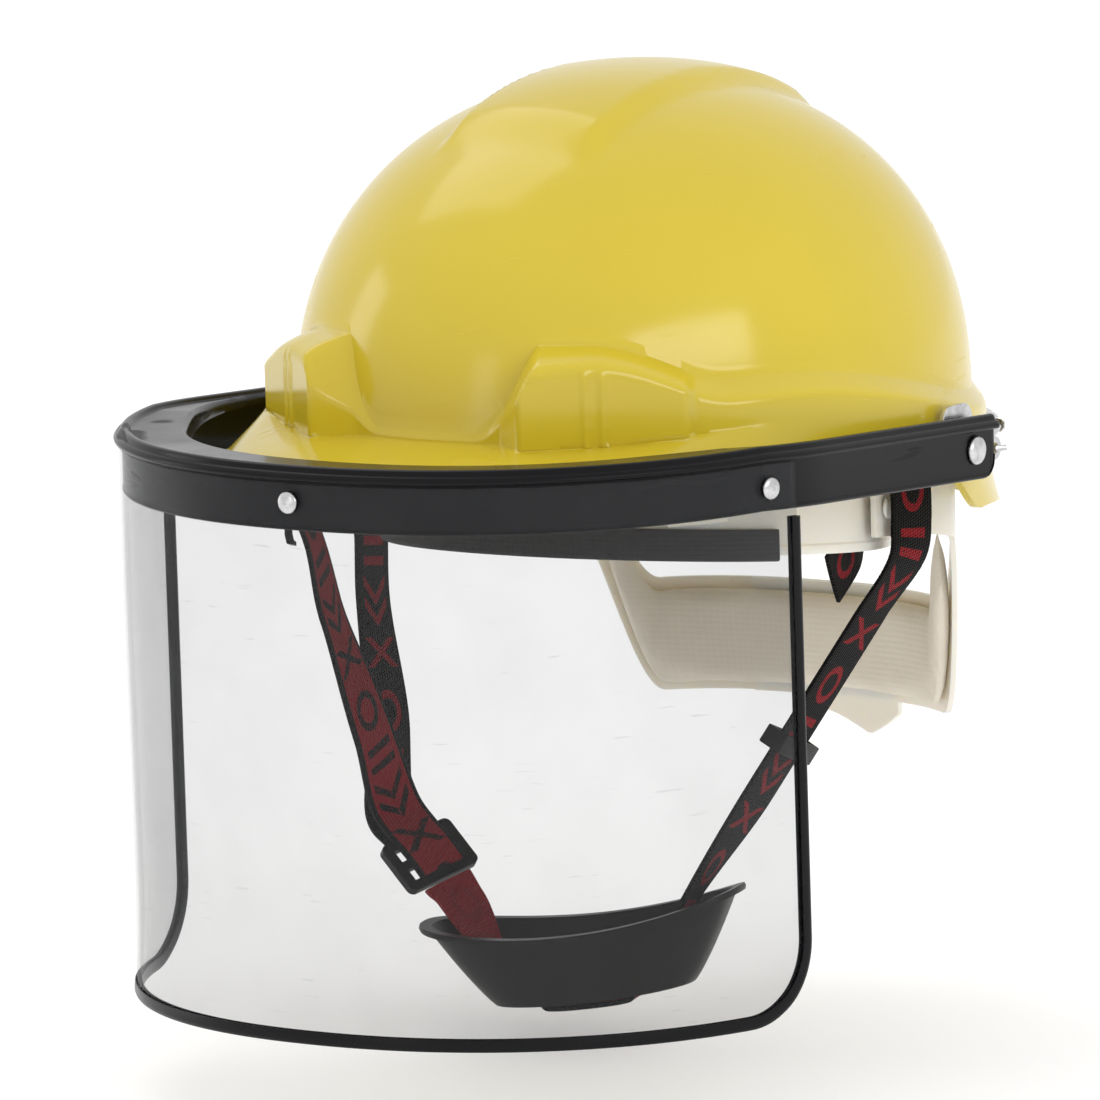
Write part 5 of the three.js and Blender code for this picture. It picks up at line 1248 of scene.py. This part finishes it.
def chin_cup():
    columns = 128
    walls = [(r, 0, 0) for r in spaced(0, 2, 30)]
    lip = [(2, -2.0, -2.2), (2, -2.4, -1.1), (2, -2.0, 0.0)]
    profile = walls[:-1] + lip + [(r, CUP_WALL, 0) for r, _, _ in walls[::-1]]

    def place(column, row):
        level, inset, lift = profile[row]
        return CUP_FRAME @ (cup_point(level, 2 * math.pi * column / columns, inset) + Vector((0, 0, lift)))

    bm = lofted(columns, len(profile) - 1, place, closed_columns=True, caps=False)
    outward(bm)
    return finished("chin_cup_moulded", bm, cup_grey, "chin_cup", ["chin_cup"], 45)


chin_cup()
for node in ("strap_slider", "strap_keeper"):
    bevelled_copy(node + "_moulded", node, 0.5, clip_black, node, 3)


# ------------------------------------------------------------------ floor, backdrop and light
def stage_material():
    material, tree, shader = new_material("stage_white")
    shader.inputs["Base Color"].default_value = (0.93, 0.93, 0.93, 1)
    shader.inputs["Emission Color"].default_value = (1, 1, 1, 1)
    shader.inputs["Emission Strength"].default_value = 0.2
    shader.inputs["Roughness"].default_value = 0.8
    return material


STAGE_SIZE, STAGE_Z = 12, -0.2


def floor():
    bm = bmesh.new()
    bmesh.ops.create_grid(bm, x_segments=1, y_segments=1, size=STAGE_SIZE)
    bmesh.ops.translate(bm, vec=(0, 0, STAGE_Z), verts=bm.verts)
    mesh = bpy.data.meshes.new("floor")
    bm.to_mesh(mesh)
    bm.free()
    mesh.materials.append(stage_material())
    piece = bpy.data.objects.new("floor", mesh)
    bpy.context.scene.collection.objects.link(piece)


floor()


def lamp(name, at, towards, size, energy):
    data = bpy.data.lights.new(name, "AREA")
    data.shape = "RECTANGLE"
    data.size, data.size_y = size
    data.energy = energy
    light = bpy.data.objects.new(name, data)
    light.location = at
    light.rotation_euler = (Vector(towards) - Vector(at)).to_track_quat("-Z", "Y").to_euler()
    bpy.context.scene.collection.objects.link(light)


lamp("window_right", (1.84, -0.74, 0.74), (0.078, -0.083, 0.053), (1.5, 0.62), 9)
lamp("softbox_top", (-1.04, 0.23, 1.78), (0, -0.08, 0.1), (1.2, 1.2), 5)
lamp("softbox_left", (-1.9, -0.5, 0.35), (0, -0.1, 0.04), (0.5, 1.2), 3)
lamp("fill_front", (-0.3, -2.2, 0.35), (0, 0, 0), (0.35, 0.9), 1.2)
world = bpy.data.worlds.new("studio")
bpy.context.scene.world = world
world.use_nodes = True
world.node_tree.nodes["Background"].inputs["Color"].default_value = (1, 1, 1, 1)
world.node_tree.nodes["Background"].inputs["Strength"].default_value = 0.92

bpy.context.scene.view_settings.view_transform = "Standard"
